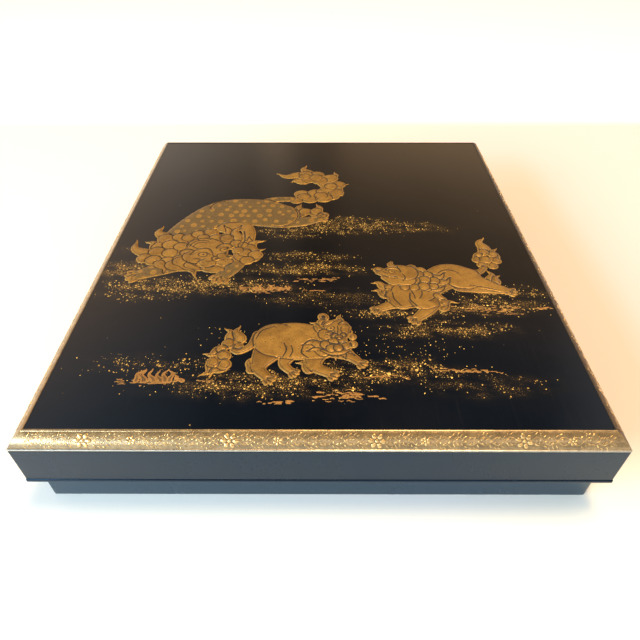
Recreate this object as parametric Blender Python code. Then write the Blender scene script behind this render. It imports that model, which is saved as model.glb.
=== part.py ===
"""Lacquer writing box: a shallow tray under an overlapping lid with a gold moulding and
low-relief lion-dogs on its top panel. Metres, +Z up, origin at the middle of the underside."""
import bmesh
import bpy
import numpy as np
from mathutils import Vector
from mathutils.geometry import delaunay_2d_cdt

MM = 0.001

# Driving dimensions, in millimetres
LID_WIDTH = 221.0
LID_DEPTH = 250.6
LID_BOTTOM = 15.5
SIDE_HEIGHT = 19.7
MOULDING_DROP = 5.8
MOULDING_WIDTH = 5.8
MOULDING_SWELL = 0.55
LID_WALL = 3.3
LID_BOARD = 3.5
LID_CORNER = 0.7
LIP_INSET = 0.3
BEAD_HEIGHT = 1.5
BEAD_STEP = 0.35
FILLET = 0.9
PANEL_STEP = 0.25
SIDE_CLEARANCE = 0.5
REST_GAP = 0.3
BASE_WALL = 3.0
BASE_FLOOR = 3.2
BASE_CORNER = 1.2
EDGE_ROUND = 0.6
RELIEF_EDGE = 0.30
RELIEF_DOME = 0.30
RELIEF_SLOPE = 0.35
DRAWN_WIDTH = 209.4
DRAWN_DEPTH = 239.0
CORNER_STEPS = 5
CONTOUR_PITCH = 0.5
CONTOUR_SLACK = 0.09

TOP = LID_BOTTOM + SIDE_HEIGHT + MOULDING_DROP
PANEL = TOP - PANEL_STEP
CEILING = PANEL - LID_BOARD
RIM = CEILING - REST_GAP
BASE_INSET = LID_WALL + SIDE_CLEARANCE
PANEL_WIDTH = LID_WIDTH - 2 * MOULDING_WIDTH
PANEL_DEPTH = LID_DEPTH - 2 * MOULDING_WIDTH


# Sections of the box

def ring(inset, height, corner):
    """Points of a rounded rectangle, set in from the lid's outer face, counted round from the right side."""
    half_x = LID_WIDTH / 2 - inset
    half_y = LID_DEPTH / 2 - inset
    corner = max(corner - inset, 0.3)
    points = []
    for quarter, (sx, sy) in enumerate(((1, 1), (-1, 1), (-1, -1), (1, -1))):
        for step in range(CORNER_STEPS + 1):
            turn = np.pi / 2 * (quarter + step / CORNER_STEPS)
            x = sx * (half_x - corner) + corner * np.cos(turn)
            y = sy * (half_y - corner) + corner * np.sin(turn)
            points.append((x, y, height))
    return points


def add_ring(mesh, points):
    return [mesh.verts.new(Vector(p) * MM) for p in points]


def join_rings(mesh, first, second):
    count = len(first)
    for i in range(count):
        j = (i + 1) % count
        mesh.faces.new((first[i], first[j], second[j], second[i]))


def moulding_section():
    """Inset and height of the moulding: lower lip, a sloping band with a slight swell, and the upper fillet."""
    low = LID_BOTTOM + SIDE_HEIGHT
    section = [(LIP_INSET, low + 0.12), (LIP_INSET, low + 0.75), (LIP_INSET + 0.15, low + 0.9)]
    foot = np.array((LIP_INSET + 0.5, low + 0.95))
    head = np.array((MOULDING_WIDTH - FILLET - 0.12, TOP - 0.3))
    run = head - foot
    out = np.array((-run[1], run[0])) / np.hypot(*run)
    for t in np.linspace(0, 1, 7):
        section.append(tuple(foot + t * run + MOULDING_SWELL * 4 * t * (1 - t) * out))
    section += [(MOULDING_WIDTH - FILLET + 0.03, TOP - 0.05), (MOULDING_WIDTH - FILLET + 0.2, TOP)]
    section += [(MOULDING_WIDTH - 0.12, TOP), (MOULDING_WIDTH, TOP - 0.1)]
    return section


# Forms of the figures: kind, then numbers in millimetres on a panel of the drawn size, x to the right, y to the back

def smooth_line(points, steps=6):
    """Catmull-Rom curve through a few points, each with its half width."""
    p = np.array(points, float)
    q = np.vstack([2 * p[0] - p[1], p, 2 * p[-1] - p[-2]])
    t = np.linspace(0, 1, steps, endpoint=False)[:, None]
    rows = []
    for a, b, c, d in zip(q[:-3], q[1:-2], q[2:-1], q[3:]):
        rows.append(b + 0.5 * t * (c - a + t * (2 * a - 5 * b + 4 * c - d + t * (3 * (b - c) + d - a))))
    rows.append(p[-1:])
    return np.vstack(rows)


def stroke(*points):
    return [("stroke", smooth_line(points))]


def oval(x, y, wide, tall=None, turn=0.0):
    return [("oval", (x, y, wide, tall or wide, np.radians(turn)))]


def flame(x, y, way, length, width, hook=50):
    """A flame-tipped lock: a taper whose heading leans one way and then hooks back."""
    t = np.linspace(0, 1, 12)
    heading = np.radians(way + hook * np.sin(2.1 * np.pi * t) * (0.5 + 0.7 * t))
    step = length / (len(t) - 1)
    px = x + np.concatenate([[0], np.cumsum(np.cos(heading[:-1]))]) * step
    py = y + np.concatenate([[0], np.cumsum(np.sin(heading[:-1]))]) * step
    half = width * (1 - t) ** 1.45 * (1 + 1.0 * t) + 0.16
    return [("stroke", np.column_stack([px, py, half]))]


def curls(path, sizes, sway):
    """Round curls in turn to the left and right of a path."""
    line = smooth_line([(a, b, 0) for a, b in path], 24)[:, :2]
    along = np.concatenate([[0], np.cumsum(np.hypot(*np.diff(line, axis=0).T))])
    found = []
    for i, size in enumerate(sizes):
        k = min(np.searchsorted(along, along[-1] * i / (len(sizes) - 1)), len(line) - 2)
        way = (line[k + 1] - line[k]) / np.hypot(*(line[k + 1] - line[k]))
        side = sway if i % 2 else -sway
        found += oval(line[k][0] - way[1] * side, line[k][1] + way[0] * side, size, size * 0.94)
    return found


def arc_of_curls(x, y, wide, tall, start, end, count, size):
    """Curls along part of an oval, largest in the middle."""
    found = []
    for i in range(count):
        t = i / max(count - 1, 1)
        a = np.radians(start + (end - start) * t)
        found += oval(x + wide * np.cos(a), y + tall * np.sin(a), size * (0.88 + 0.12 * np.sin(np.pi * t)))
    return found


def leg(*points, paw=2.4, toes=0):
    """A leg through a few joints, ending in a broad paw with four toes set fan-wise."""
    x, y = points[-1][:2]
    way = np.degrees(np.arctan2(y - points[-2][1], x - points[-2][0])) + toes
    found = stroke(*points)
    for turn in (-54, 54, -18, 18):
        a = np.radians(way + turn)
        found += oval(x + 0.72 * paw * np.cos(a), y + 0.72 * paw * np.sin(a), paw * 0.72, paw * 0.40,
                      way + 0.6 * turn)
    return found


# The three lion-dogs, each from the far side to the near side

def crouching_lion():
    f = []
    # tail: a hook of curls with flame tips
    f += flame(-12, 72, 176, 17, 4.0, 40)
    f += flame(-10, 64, 184, 9, 3.6, -44)
    f += flame(-7, 74, 104, 13, 3.4, 46)
    f += flame(6, 68, 66, 10, 3.4, -46)
    f += flame(9, 52, 52, 14, 3.8, 52)
    f += flame(7, 45, 20, 8, 3.4, 60)
    f += curls([(-14, 44.5), (-6, 46), (2, 47), (7.4, 53), (6.5, 62), (0, 68.5), (-10, 70)],
               (4.2, 4.8, 5.0, 5.0, 5.0, 4.8, 4.6, 4.6, 4.8, 5.0, 5.0, 5.0, 4.8, 4.6, 4.2), 3.2)
    for x, y, size in ((-9.5, 45.0, 3.8), (0.5, 46.5, 4.0), (6.4, 57.5, 3.8), (-2.5, 68.5, 4.0), (-9.5, 70.2, 3.4)):
        f += oval(x, y, size)
    f += stroke((-34, 37, 3.4), (-27, 41.5, 3.0), (-17, 42.5, 2.6))
    # far hind leg and its tufts
    f += flame(-10, 27, 98, 11, 3.6, 40)
    f += flame(-2.5, 27, 84, 11, 3.6, -40)
    f += arc_of_curls(-5, 24, 7, 5.0, 170, 10, 4, 3.6)
    f += leg((-20, 19, 7), (-10, 18, 4.6), (-1, 21, 3.4), paw=4.0, toes=6)
    # far foreleg
    f += leg((-66, -19, 6.5), (-77, -25, 5.2), (-87, -30, 3.8), paw=4.6, toes=-6)
    # body
    f += stroke((-78, -2, 6.0), (-69, 12, 9.5), (-54, 27, 13), (-36, 28, 14), (-23, 24, 12))
    f += oval(-56, 33.2, 6.0, 5.4, 36)
    f += oval(-26, 25.0, 14.0, 12.4, -22)
    # near foreleg above the head
    f += oval(-48, 12, 7.5, 5.0, 10)
    f += stroke((-47, 21, 0.8), (-41, 14.5, 3.4), (-37.6, 7, 3.6), (-37.2, -3, 3.0), (-40, -16, 4.0))
    # mane, outer row of flame-tipped locks
    f += flame(-86, -14, 128, 19, 4.0, 44)
    f += flame(-83, -8, 136, 11, 3.4, -44)
    f += flame(-80.5, 1, 112, 15, 3.8, 50)
    f += flame(-49, 1, 98, 14, 3.2, -34)
    f += flame(-43.5, 0, 88, 15, 3.6, 36)
    f += flame(-41, -6, 60, 11, 3.2, -46)
    f += flame(-37, -9, 48, 14, 3.4, 44)
    f += flame(-33, -16, 62, 11, 3.2, 46)
    # mane, rounded curls in three columns over a backing
    f += oval(-73, -9, 13.5, 12.5)
    f += oval(-56, -2, 13, 8.0, -14)
    f += oval(-37, -12, 6.5, 8.0)
    for x, y, size in ((-87.5, -16.5, 4.0), (-82.6, -10.6, 4.1), (-80.6, 1.0, 4.4), (-82.6, -18.2, 4.2),
                       (-76.8, -4.4, 4.3), (-75.6, -11.8, 4.0), (-75.4, -19.0, 3.9), (-71.2, -6.2, 3.7),
                       (-69.6, -17.0, 3.4), (-74.0, 2.6, 3.3), (-68.6, 2.0, 3.6), (-57.8, 6.4, 4.3),
                       (-64.2, 5.2, 3.5), (-54.4, 1.4, 3.7), (-48.6, 1.6, 3.6), (-61.0, 2.0, 3.2),
                       (-43.0, -3.4, 3.3), (-37.8, -11.6, 3.5), (-32.2, -13.4, 3.8), (-36.0, -18.2, 3.5),
                       (-41.6, -9.6, 3.0), (-39.4, -4.8, 2.6)):
        f += oval(x, y, size, size * 0.95)
    # near forepaw
    f += leg((-40, -18, 4.6), (-43, -25, 4.4), (-46.5, -30.5, 3.8), paw=4.8, toes=8)
    # beard and cheek locks
    f += flame(-79, -21, -60, 10, 2.8, 40)
    f += flame(-72, -22, -34, 19, 3.8, 40)
    f += flame(-69, -19, -30, 17, 3.6, -36)
    f += flame(-64, -22, -20, 12, 2.4, -34)
    # head, turned down and to the right
    f += oval(-52, -25.2, 6.0, 3.0, -6)
    f += oval(-58.5, -8.5, 13.0, 9.6, -30)
    f += oval(-67.0, -11.6, 3.6, 3.0)
    f += oval(-62.5, -15.5, 6.4, 5.0, -20)
    f += oval(-55.2, -20.6, 5.0, 3.7, -10)
    f += oval(-46.8, -19.6, 4.2, 3.4, 16)
    f += stroke((-58.5, -2.5, 2.0), (-54, -8, 2.6), (-49.8, -14, 3.2))
    f += oval(-51.6, -16.6, 2.2, 1.8, -14)
    f += oval(-45.4, -14.8, 2.0, 1.7, -14)
    f += oval(-48.6, -14.6, 3.0, 2.3, -24)
    f += stroke((-64.6, -13.4, 0.5), (-61.6, -10.0, 1.4), (-57.4, -9.6, 1.6), (-54.6, -12.4, 0.9))
    f += stroke((-52.4, -7.6, 0.5), (-50.0, -5.2, 1.3), (-46.8, -5.4, 1.4), (-45.0, -8.2, 0.7))
    return f


def leaping_lion():
    f = []
    # tail bulb
    f += flame(83.5, -9, 84, 13, 3.4, 44)
    f += flame(78.8, -15, 74, 9, 2.4, -40)
    f += flame(87.5, -15, 76, 9, 2.4, 46)
    for x, y, size in ((79.4, -21.4, 2.6), (84.6, -22.4, 2.7), (77.8, -17.4, 2.5), (87.4, -18.2, 2.6),
                       (82.2, -17.2, 3.1), (86.6, -13.0, 2.6), (82.4, -11.0, 2.9), (79.6, -13.2, 2.0)):
        f += oval(x, y, size)
    f += stroke((71, -28, 3.0), (76.5, -27.4, 2.0), (80, -24, 1.6))
    f += flame(80.5, -34.5, 84, 9.5, 2.6, -42)
    f += flame(83, -35.5, 66, 7, 2.2, 46)
    # far legs
    f += leg((66, -38, 4.6), (77, -41.0, 2.6), (84.5, -42.0, 1.9), paw=2.3, toes=4)
    f += leg((41, -50, 4.0), (33, -51.5, 2.9), (26.5, -54.6, 2.2), paw=3.1, toes=14)
    # throat curls
    f += flame(30, -39, 148, 7.5, 2.3, -50)
    f += flame(30, -45, 146, 8, 2.3, -50)
    for x, y, size in ((32.4, -39.2, 2.2), (30.2, -42.6, 1.7), (31.6, -45.6, 1.9)):
        f += oval(x, y, size)
    # body
    f += stroke((46, -42, 8.0), (53, -36.0, 8.0), (61.5, -30.2, 9.2), (68.5, -32, 8.6))
    f += leg((69.5, -34, 7.6), (78, -37.4, 4.0), (87.0, -42.2, 2.4), paw=3.1, toes=10)
    f += oval(67.2, -31.8, 9.2, 8.4, -30)
    f += oval(40.0, -43.0, 7.0, 7.0)
    f += oval(36.8, -46.2, 6.4, 8.8, 10)
    # elbow tuft and near foreleg
    f += flame(54, -45.5, -64, 8, 1.9, 40)
    f += flame(55, -54.5, 34, 11, 1.9, 60)
    f += oval(56.0, -50.4, 2.3)
    f += leg((50, -51, 4.6), (47.6, -55.6, 3.4), (42.6, -60.8, 2.4), paw=3.3, toes=-4)
    f += oval(47.4, -47.6, 7.0, 7.6, -20)
    # mane
    f += flame(52, -32, 20, 10, 2.4, -46)
    f += flame(55, -36, 24, 9, 2.4, -46)
    f += flame(51, -40.5, 10, 9, 2.2, -46)
    f += oval(47.4, -33.0, 7.0, 9.6, 24)
    for x, y, size in ((44.6, -23.8, 2.5), (48.6, -26.2, 2.7), (51.4, -30.0, 2.7), (47.0, -29.4, 2.8),
                       (54.0, -34.4, 2.7), (49.6, -33.6, 2.8), (53.0, -38.6, 2.4), (48.6, -38.6, 2.8),
                       (44.6, -34.0, 2.8), (43.8, -39.4, 2.6), (39.6, -39.4, 2.3)):
        f += oval(x, y, size)
    # head, raised, with an open mouth
    f += stroke((41, -33.5, 4.6), (35.4, -35.0, 2.8), (30.6, -31.8, 1.6))
    f += stroke((41.4, -28.2, 5.8), (37.5, -27.2, 5.4), (32.5, -28.2, 3.6), (29.2, -27.0, 2.9))
    f += oval(28.0, -25.4, 2.4, 1.9, 24)
    f += stroke((36.6, -23.6, 1.3), (34.6, -21.6, 1.7), (35.2, -19.4, 0.8))
    f += stroke((32.0, -26.2, 0.35), (34.0, -24.6, 0.9), (37.0, -25.0, 1.0), (38.6, -27.6, 0.5))
    return f


def walking_lion():
    f = []
    # tail of round curls with flame tips
    f += flame(-37.0, -74, 112, 8.5, 2.4, -44)
    f += flame(-33.0, -74, 100, 9.5, 2.6, 46)
    f += flame(-40.5, -80, 206, 8, 2.4, 46)
    f += flame(-42.5, -87, 244, 10, 2.4, 46)
    f += flame(-38, -90, 224, 8, 2.2, -46)
    for x, y, size in ((-33.6, -78.6, 2.8), (-37.6, -76.8, 3.0), (-39.8, -79.8, 2.4), (-38.6, -83.6, 3.2),
                       (-37.8, -88.4, 3.1), (-42.4, -87.2, 2.9)):
        f += oval(x, y, size)
    f += stroke((-26, -71, 2.2), (-28.0, -77.5, 1.9), (-32.5, -81.2, 1.6), (-35.5, -80.4, 1.2))
    # far legs
    f += leg((-12, -82, 4.0), (-14, -88, 2.4), (-11, -92.0, 1.8), paw=2.6, toes=14)
    f += leg((5, -80, 4.4), (12.2, -83.5, 2.7), (16.0, -87.0, 1.9), paw=2.7)
    # body
    f += stroke((-18, -74.5, 9.6), (-10, -74.8, 11.0), (0, -76, 9.4))
    f += oval(-18.8, -72.5, 8.6, 8.0, 30)
    f += flame(-26.5, -91, 98, 8, 2.2, 44)
    f += leg((-20.5, -80, 6.6), (-24, -89.5, 3.2), (-20.5, -95, 2.2), paw=3.0, toes=16)
    f += flame(-4, -91, 140, 7.5, 2.2, -48)
    f += leg((-1.5, -80, 6.0), (-2.0, -88.6, 3.2), (4.0, -93.0, 2.2), paw=3.0, toes=6)
    # mane
    f += flame(0, -68, 128, 7, 1.9, -46)
    f += flame(1, -77.5, 176, 9, 2.1, -46)
    f += flame(2, -82, 168, 8, 2.0, -46)
    # ruff and beard
    f += flame(5.0, -81.6, -66, 5.0, 1.4, 30)
    f += flame(8.4, -81.4, -58, 4.6, 1.4, 30)
    f += flame(11.6, -80.4, -46, 4.2, 1.2, 30)
    f += stroke((1.0, -80.6, 0.6), (5.0, -82.0, 1.2), (9.4, -81.6, 1.2), (12.8, -79.4, 0.6))
    for x, y, size in ((12.4, -66.8, 1.3), (12.8, -69.4, 1.4), (13.9, -72.4, 1.8), (13.8, -76.8, 2.1),
                       (2.4, -77.2, 2.1), (4.8, -79.4, 2.1), (10.8, -77.6, 2.4), (7.8, -79.0, 2.0)):
        f += oval(x, y, size, size * 1.1)
    # head, turned to the viewer's right
    f += oval(1.7, -60.2, 2.5, 2.9, 20)
    f += oval(0.9, -63.6, 2.3)
    f += flame(8.8, -63.0, 88, 5.0, 1.8, 30)
    f += stroke((4.6, -65.8, 3.8), (9.0, -66.0, 3.9), (9.2, -70.5, 3.6), (7.8, -74.4, 2.7))
    f += oval(2.4, -71.2, 3.0, 3.4, 10)
    f += oval(6.0, -75.0, 2.4, 1.8, -10)
    f += oval(9.8, -74.8, 2.1, 1.7, 10)
    f += oval(6.4, -71.9, 1.6, 1.4)
    f += oval(10.0, -71.4, 1.3, 1.2)
    f += oval(8.2, -72.8, 1.7, 1.4)
    f += stroke((1.8, -65.6, 0.4), (4.0, -64.0, 1.2), (6.8, -61.8, 0.5))
    f += stroke((8.4, -64.8, 0.4), (10.4, -63.6, 0.9), (12.0, -65.2, 0.3))
    return f


# Height of the relief

def form_depth(kind, data, x, y):
    """Depth inside one form, below 0 outside it, close to a distance in millimetres."""
    if kind == "oval":
        cx, cy, wide, tall, turn = data
        u = (x - cx) * np.cos(turn) + (y - cy) * np.sin(turn)
        v = (y - cy) * np.cos(turn) - (x - cx) * np.sin(turn)
        q = np.hypot(u / wide, v / tall) + 1e-9
        return np.minimum((1 - q) * q / (np.hypot(u / wide ** 2, v / tall ** 2) + 1e-9), min(wide, tall))
    best = np.full(x.shape, -99.0)
    for a, b in zip(data[:-1], data[1:]):
        run = b[:2] - a[:2]
        share = np.clip(((x - a[0]) * run[0] + (y - a[1]) * run[1]) / (run @ run + 1e-12), 0, 1)
        gap = np.hypot(x - a[0] - share * run[0], y - a[1] - share * run[1])
        best = np.maximum(best, a[2] + (b[2] - a[2]) * share - gap)
    return best


def outline_depth(forms, x, y):
    return np.max([form_depth(kind, data, x, y) for kind, data in forms], axis=0)


def relief(forms, x, y):
    """Height over the panel: a steep edge, then a dome for the form that lies on top at each place."""
    whole = np.full(x.shape, -99.0)
    own = np.full(x.shape, -99.0)
    for kind, data in forms:
        d = form_depth(kind, data, x, y)
        whole = np.maximum(whole, d)
        own = np.where(d > 0, d, own)
    edge = RELIEF_EDGE * np.clip(whole / RELIEF_SLOPE, 0, 1)
    return edge + RELIEF_DOME * (1 - np.exp(-np.clip(own, 0, None) / 1.2)) * np.clip(whole - RELIEF_SLOPE, 0, 1)


# Outlines of the figures

def contour(depth, xs, ys, level):
    """Closed lines along which the depth has one value, found square by square."""
    above = depth > level
    places = {}
    links = {}

    def crossing(a, b):
        key = (a, b) if a < b else (b, a)
        if key not in places:
            share = (level - depth[a]) / (depth[b] - depth[a])
            start = np.array((xs[a[1]], ys[a[0]]))
            places[key] = start + share * (np.array((xs[b[1]], ys[b[0]])) - start)
        return key

    mixed = above[:-1, :-1].astype(int) + above[1:, :-1] + above[:-1, 1:] + above[1:, 1:]
    for r, c in zip(*np.nonzero((mixed > 0) & (mixed < 4))):
        corners = [(r, c), (r, c + 1), (r + 1, c + 1), (r + 1, c)]
        cuts = [crossing(a, b) for a, b in zip(corners, corners[1:] + corners[:1]) if above[a] != above[b]]
        pairs = [cuts] if len(cuts) == 2 else [cuts[:2], cuts[2:]]
        for first, second in pairs:
            links.setdefault(first, []).append(second)
            links.setdefault(second, []).append(first)
    loops = []
    while links:
        start = next(iter(links))
        loop = [start]
        here = links.pop(start)[0]
        while here != start:
            loop.append(here)
            ahead = [k for k in links.pop(here) if k in links or k == start]
            if len(loop) > 2 and start in ahead:
                break
            here = ahead[0] if ahead[0] != start or len(ahead) == 1 else ahead[1]
        loops.append(np.array([places[k] for k in loop]))
    return loops


def thinned(line, slack):
    """The line with the points left out that lie within the slack of the rest."""
    if len(line) < 3:
        return line
    run = line[-1] - line[0]
    away = line - line[0]
    if run @ run < 1e-9:
        gap = np.hypot(away[:, 0], away[:, 1])
    else:
        gap = np.abs(run[0] * away[:, 1] - run[1] * away[:, 0]) / np.hypot(*run)
    far = int(np.argmax(gap))
    if gap[far] <= slack:
        return line[[0, -1]]
    return np.vstack([thinned(line[:far + 1], slack)[:-1], thinned(line[far:], slack)])


def thinned_loop(loop, slack):
    far = int(np.argmax(np.hypot(*(loop - loop[0]).T)))
    closed = np.vstack([loop, loop[:1]])
    return np.vstack([thinned(closed[:far + 1], slack)[:-1], thinned(closed[far:], slack)[:-1]])


def inner_places(forms):
    """Places inside the figure that carry its forms: middles, spines and rims."""
    for kind, data in forms:
        if kind == "oval":
            cx, cy, wide, tall, turn = data
            yield cx, cy
            sides = 6 if wide < 4 else 8
            for share in (0.62, 0.97) if wide > 5 else (0.94,):
                for i in range(sides):
                    a = 2 * np.pi * i / sides
                    u, v = share * wide * np.cos(a), share * tall * np.sin(a)
                    yield cx + u * np.cos(turn) - v * np.sin(turn), cy + u * np.sin(turn) + v * np.cos(turn)
            continue
        for a, b in zip(data[:-1:2], data[1::2]):
            way = (b[:2] - a[:2]) / np.hypot(*(b[:2] - a[:2]))
            for side in (0, 0.9, -0.9):
                yield a[0] - way[1] * side * a[2], a[1] + way[0] * side * a[2]


def figure_points(forms):
    """Outline loops of one figure and its inner points, each with the height."""
    reach = [(d[0] - max(d[2:4]), d[1] - max(d[2:4]), d[0] + max(d[2:4]), d[1] + max(d[2:4])) if k == "oval"
             else (*(d[:, :2] - d[:, 2:]).min(0), *(d[:, :2] + d[:, 2:]).max(0)) for k, d in forms]
    low_x, low_y = np.min(reach, axis=0)[:2] - 1
    high_x, high_y = np.max(reach, axis=0)[2:] + 1
    xs = np.arange(low_x, high_x, CONTOUR_PITCH)
    ys = np.arange(low_y, high_y, CONTOUR_PITCH)
    depth = outline_depth(forms, *np.meshgrid(xs, ys))
    loops = []
    for level, height in ((0.0, 0.0), (RELIEF_SLOPE, RELIEF_EDGE)):
        for loop in contour(depth, xs, ys, level):
            loop = thinned_loop(loop, CONTOUR_SLACK)
            if len(loop) > 3 and np.ptp(loop, axis=0).min() > 0.8:
                loops.append((loop, height))
    places = np.array(list(inner_places(forms)))
    inside = outline_depth(forms, places[:, 0], places[:, 1]) > 0.95
    kept = np.empty((0, 2))
    for place in places[inside]:
        if not len(kept) or np.hypot(*(kept - place).T).min() > 1.15:
            kept = np.vstack([kept, place])
    return loops, kept, relief(forms, kept[:, 0], kept[:, 1])


def panel_surface():
    """The panel as one sheet: its border, the figures' outlines and their raised points, triangulated."""
    share = min(PANEL_WIDTH / DRAWN_WIDTH, PANEL_DEPTH / DRAWN_DEPTH)
    places = [Vector(p[:2]) for p in ring(MOULDING_WIDTH, PANEL, LID_CORNER)]
    heights = [PANEL] * len(places)
    edges = [(i, (i + 1) % len(places)) for i in range(len(places))]
    for make in (crouching_lion, leaping_lion, walking_lion):
        loops, inner, inner_heights = figure_points(make())
        for loop, height in loops:
            first = len(places)
            places += [Vector(p) * share for p in loop]
            heights += [PANEL + height] * len(loop)
            edges += [(first + i, first + (i + 1) % len(loop)) for i in range(len(loop))]
        places += [Vector(p) * share for p in inner]
        heights += list(PANEL + inner_heights)
    found, _, faces, sources, _, _ = delaunay_2d_cdt(places, edges, [], 1, 1e-6)
    points = [(p.x, p.y, heights[s[0]]) for p, s in zip(found, sources)]
    return points, faces, sources


# The pieces

def close_piece(name, mesh, colour, roughness):
    data = bpy.data.meshes.new(name)
    bmesh.ops.recalc_face_normals(mesh, faces=mesh.faces)
    mesh.to_mesh(data)
    mesh.free()
    piece = bpy.data.objects.new(name, data)
    bpy.context.scene.collection.objects.link(piece)
    material = bpy.data.materials.new(name + "_lacquer")
    material.use_nodes = True
    shader = material.node_tree.nodes["Principled BSDF"]
    shader.inputs["Base Color"].default_value = (*colour, 1)
    shader.inputs["Roughness"].default_value = roughness
    shader.inputs["Metallic"].default_value = 0.0
    material.diffuse_color = (*colour, 1)
    data.materials.append(material)
    data.shade_smooth()
    data.set_sharp_from_angle(angle=np.radians(28))
    return piece


def make_lid():
    mesh = bmesh.new()
    inner = LID_WALL
    section = [(inner, CEILING), (inner, LID_BOTTOM + 0.3), (inner - 0.3, LID_BOTTOM), (0.45, LID_BOTTOM)]
    section += [(0.0, LID_BOTTOM + 0.4), (0.0, LID_BOTTOM + BEAD_HEIGHT - 0.6), (0.1, LID_BOTTOM + BEAD_HEIGHT - 0.2)]
    section += [(BEAD_STEP, LID_BOTTOM + BEAD_HEIGHT), (BEAD_STEP, LID_BOTTOM + SIDE_HEIGHT)]
    section += moulding_section()
    rings = [add_ring(mesh, ring(inset, height, LID_CORNER)) for inset, height in section]
    points, faces, sources = panel_surface()
    sheet = [mesh.verts.new(Vector(p) * MM) for p in points]
    for face in faces:
        mesh.faces.new([sheet[i] for i in face])
    border = [sheet[next(i for i, s in enumerate(sources) if s[0] == k)] for k in range(len(rings[0]))]
    rings.append(border)
    for first, second in zip(rings[:-1], rings[1:]):
        join_rings(mesh, first, second)
    mesh.faces.new(rings[0])
    return close_piece("lid", mesh, (0.010, 0.009, 0.009), 0.12)


def make_base():
    mesh = bmesh.new()
    out = BASE_INSET
    inner = out + BASE_WALL
    section = [(out + EDGE_ROUND, 0.0), (out + 0.18, 0.18), (out, EDGE_ROUND), (out, RIM - 0.4)]
    section += [(out + 0.4, RIM), (inner - 0.4, RIM), (inner, RIM - 0.4), (inner, BASE_FLOOR + 1.0)]
    section += [(inner + 0.3, BASE_FLOOR + 0.3), (inner + 1.0, BASE_FLOOR)]
    rings = [add_ring(mesh, ring(inset, height, BASE_CORNER + BASE_INSET)) for inset, height in section]
    for first, second in zip(rings[:-1], rings[1:]):
        join_rings(mesh, first, second)
    mesh.faces.new(rings[0])
    mesh.faces.new(rings[-1])
    return close_piece("base", mesh, (0.012, 0.011, 0.011), 0.2)


for old in list(bpy.data.objects):
    bpy.data.objects.remove(old, do_unlink=True)
make_lid()
make_base()
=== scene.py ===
"""Black lacquer writing box with a rounded gold moulding and three gold lion-dogs in relief on its lid."""

import bpy
import numpy as np
from mathutils import Matrix, Vector
from mathutils.geometry import delaunay_2d_cdt


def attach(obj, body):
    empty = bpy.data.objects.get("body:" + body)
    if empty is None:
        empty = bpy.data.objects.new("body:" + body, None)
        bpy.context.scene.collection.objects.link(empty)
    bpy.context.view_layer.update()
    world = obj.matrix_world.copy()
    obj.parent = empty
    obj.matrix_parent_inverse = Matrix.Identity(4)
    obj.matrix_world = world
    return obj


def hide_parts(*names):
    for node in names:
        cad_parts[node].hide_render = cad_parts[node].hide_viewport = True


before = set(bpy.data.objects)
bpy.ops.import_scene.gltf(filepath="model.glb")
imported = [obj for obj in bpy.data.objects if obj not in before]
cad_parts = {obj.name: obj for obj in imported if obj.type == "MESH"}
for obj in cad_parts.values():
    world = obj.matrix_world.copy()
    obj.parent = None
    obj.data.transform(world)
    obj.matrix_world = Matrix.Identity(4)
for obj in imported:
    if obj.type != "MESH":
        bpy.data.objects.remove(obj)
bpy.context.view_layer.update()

MM = 0.001

# Sizes of the box, in millimetres, as its solids have them
LID_WIDTH, LID_DEPTH = 221.0, 250.6
LID_BOTTOM, SIDE_HEIGHT = 15.5, 19.7
MOULDING_DROP, MOULDING_WIDTH, MOULDING_SWELL = 5.8, 5.8, 0.55
LID_WALL, LID_BOARD, LID_CORNER = 3.3, 3.5, 0.7
BEAD_HEIGHT, BEAD_STEP, LIP_INSET = 1.5, 0.35, 0.3
FILLET = 0.9
BASE_WALL, BASE_FLOOR, BASE_INSET, BASE_CORNER = 3.0, 3.2, 3.8, 1.2
REST_GAP = 0.3
PANEL_DROP, PANEL_SKIRT, CORNER_STEPS = 0.25, 0.6, 8
TOP = LID_BOTTOM + SIDE_HEIGHT + MOULDING_DROP
PANEL = TOP - PANEL_DROP
CEILING = PANEL - LID_BOARD
RIM = CEILING - REST_GAP
RELIEF_EDGE, RELIEF_DOME, RELIEF_SLOPE, RELIEF_BORDER = 0.30, 0.30, 0.35, 0.04
GROUND_LIFT, FLAKE_TIP, FLAKE_FOOT = 0.05, 0.075, 0.12


# Meshes

def make_piece(name, points, faces, materials, numbers=None, slots=None, smooth=True, sharp=None):
    """One mesh object from points in millimetres and its faces, with numbers kept at the points."""
    data = bpy.data.meshes.new(name)
    data.from_pydata(np.asarray(points, float) * MM, [], faces)
    for material in materials:
        data.materials.append(material)
    if slots is not None:
        data.polygons.foreach_set("material_index", np.asarray(slots, np.int32))
    for key, values in (numbers or {}).items():
        data.attributes.new(key, "FLOAT", "POINT").data.foreach_set("value", np.asarray(values, np.float32))
    if smooth:
        data.shade_smooth()
    if sharp:
        data.set_sharp_from_angle(angle=np.radians(sharp))
    data.validate()
    piece = bpy.data.objects.new(name, data)
    bpy.context.scene.collection.objects.link(piece)
    return piece


def ring(inset, height, corner):
    """Rounded rectangle set in from the lid's outer face: four quarter turns, one at each corner."""
    half = np.array((LID_WIDTH, LID_DEPTH)) / 2 - inset
    corner = max(corner - inset, 0.3)
    turn = np.linspace(0, np.pi / 2, CORNER_STEPS + 1)
    quarters = []
    for quarter, (sx, sy) in enumerate(((1, 1), (-1, 1), (-1, -1), (1, -1))):
        x = sx * (half[0] - corner) + corner * np.cos(turn + quarter * np.pi / 2)
        y = sy * (half[1] - corner) + corner * np.sin(turn + quarter * np.pi / 2)
        quarters.append(np.column_stack([x, y, np.full(len(turn), height)]))
    return np.vstack(quarters)


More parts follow.
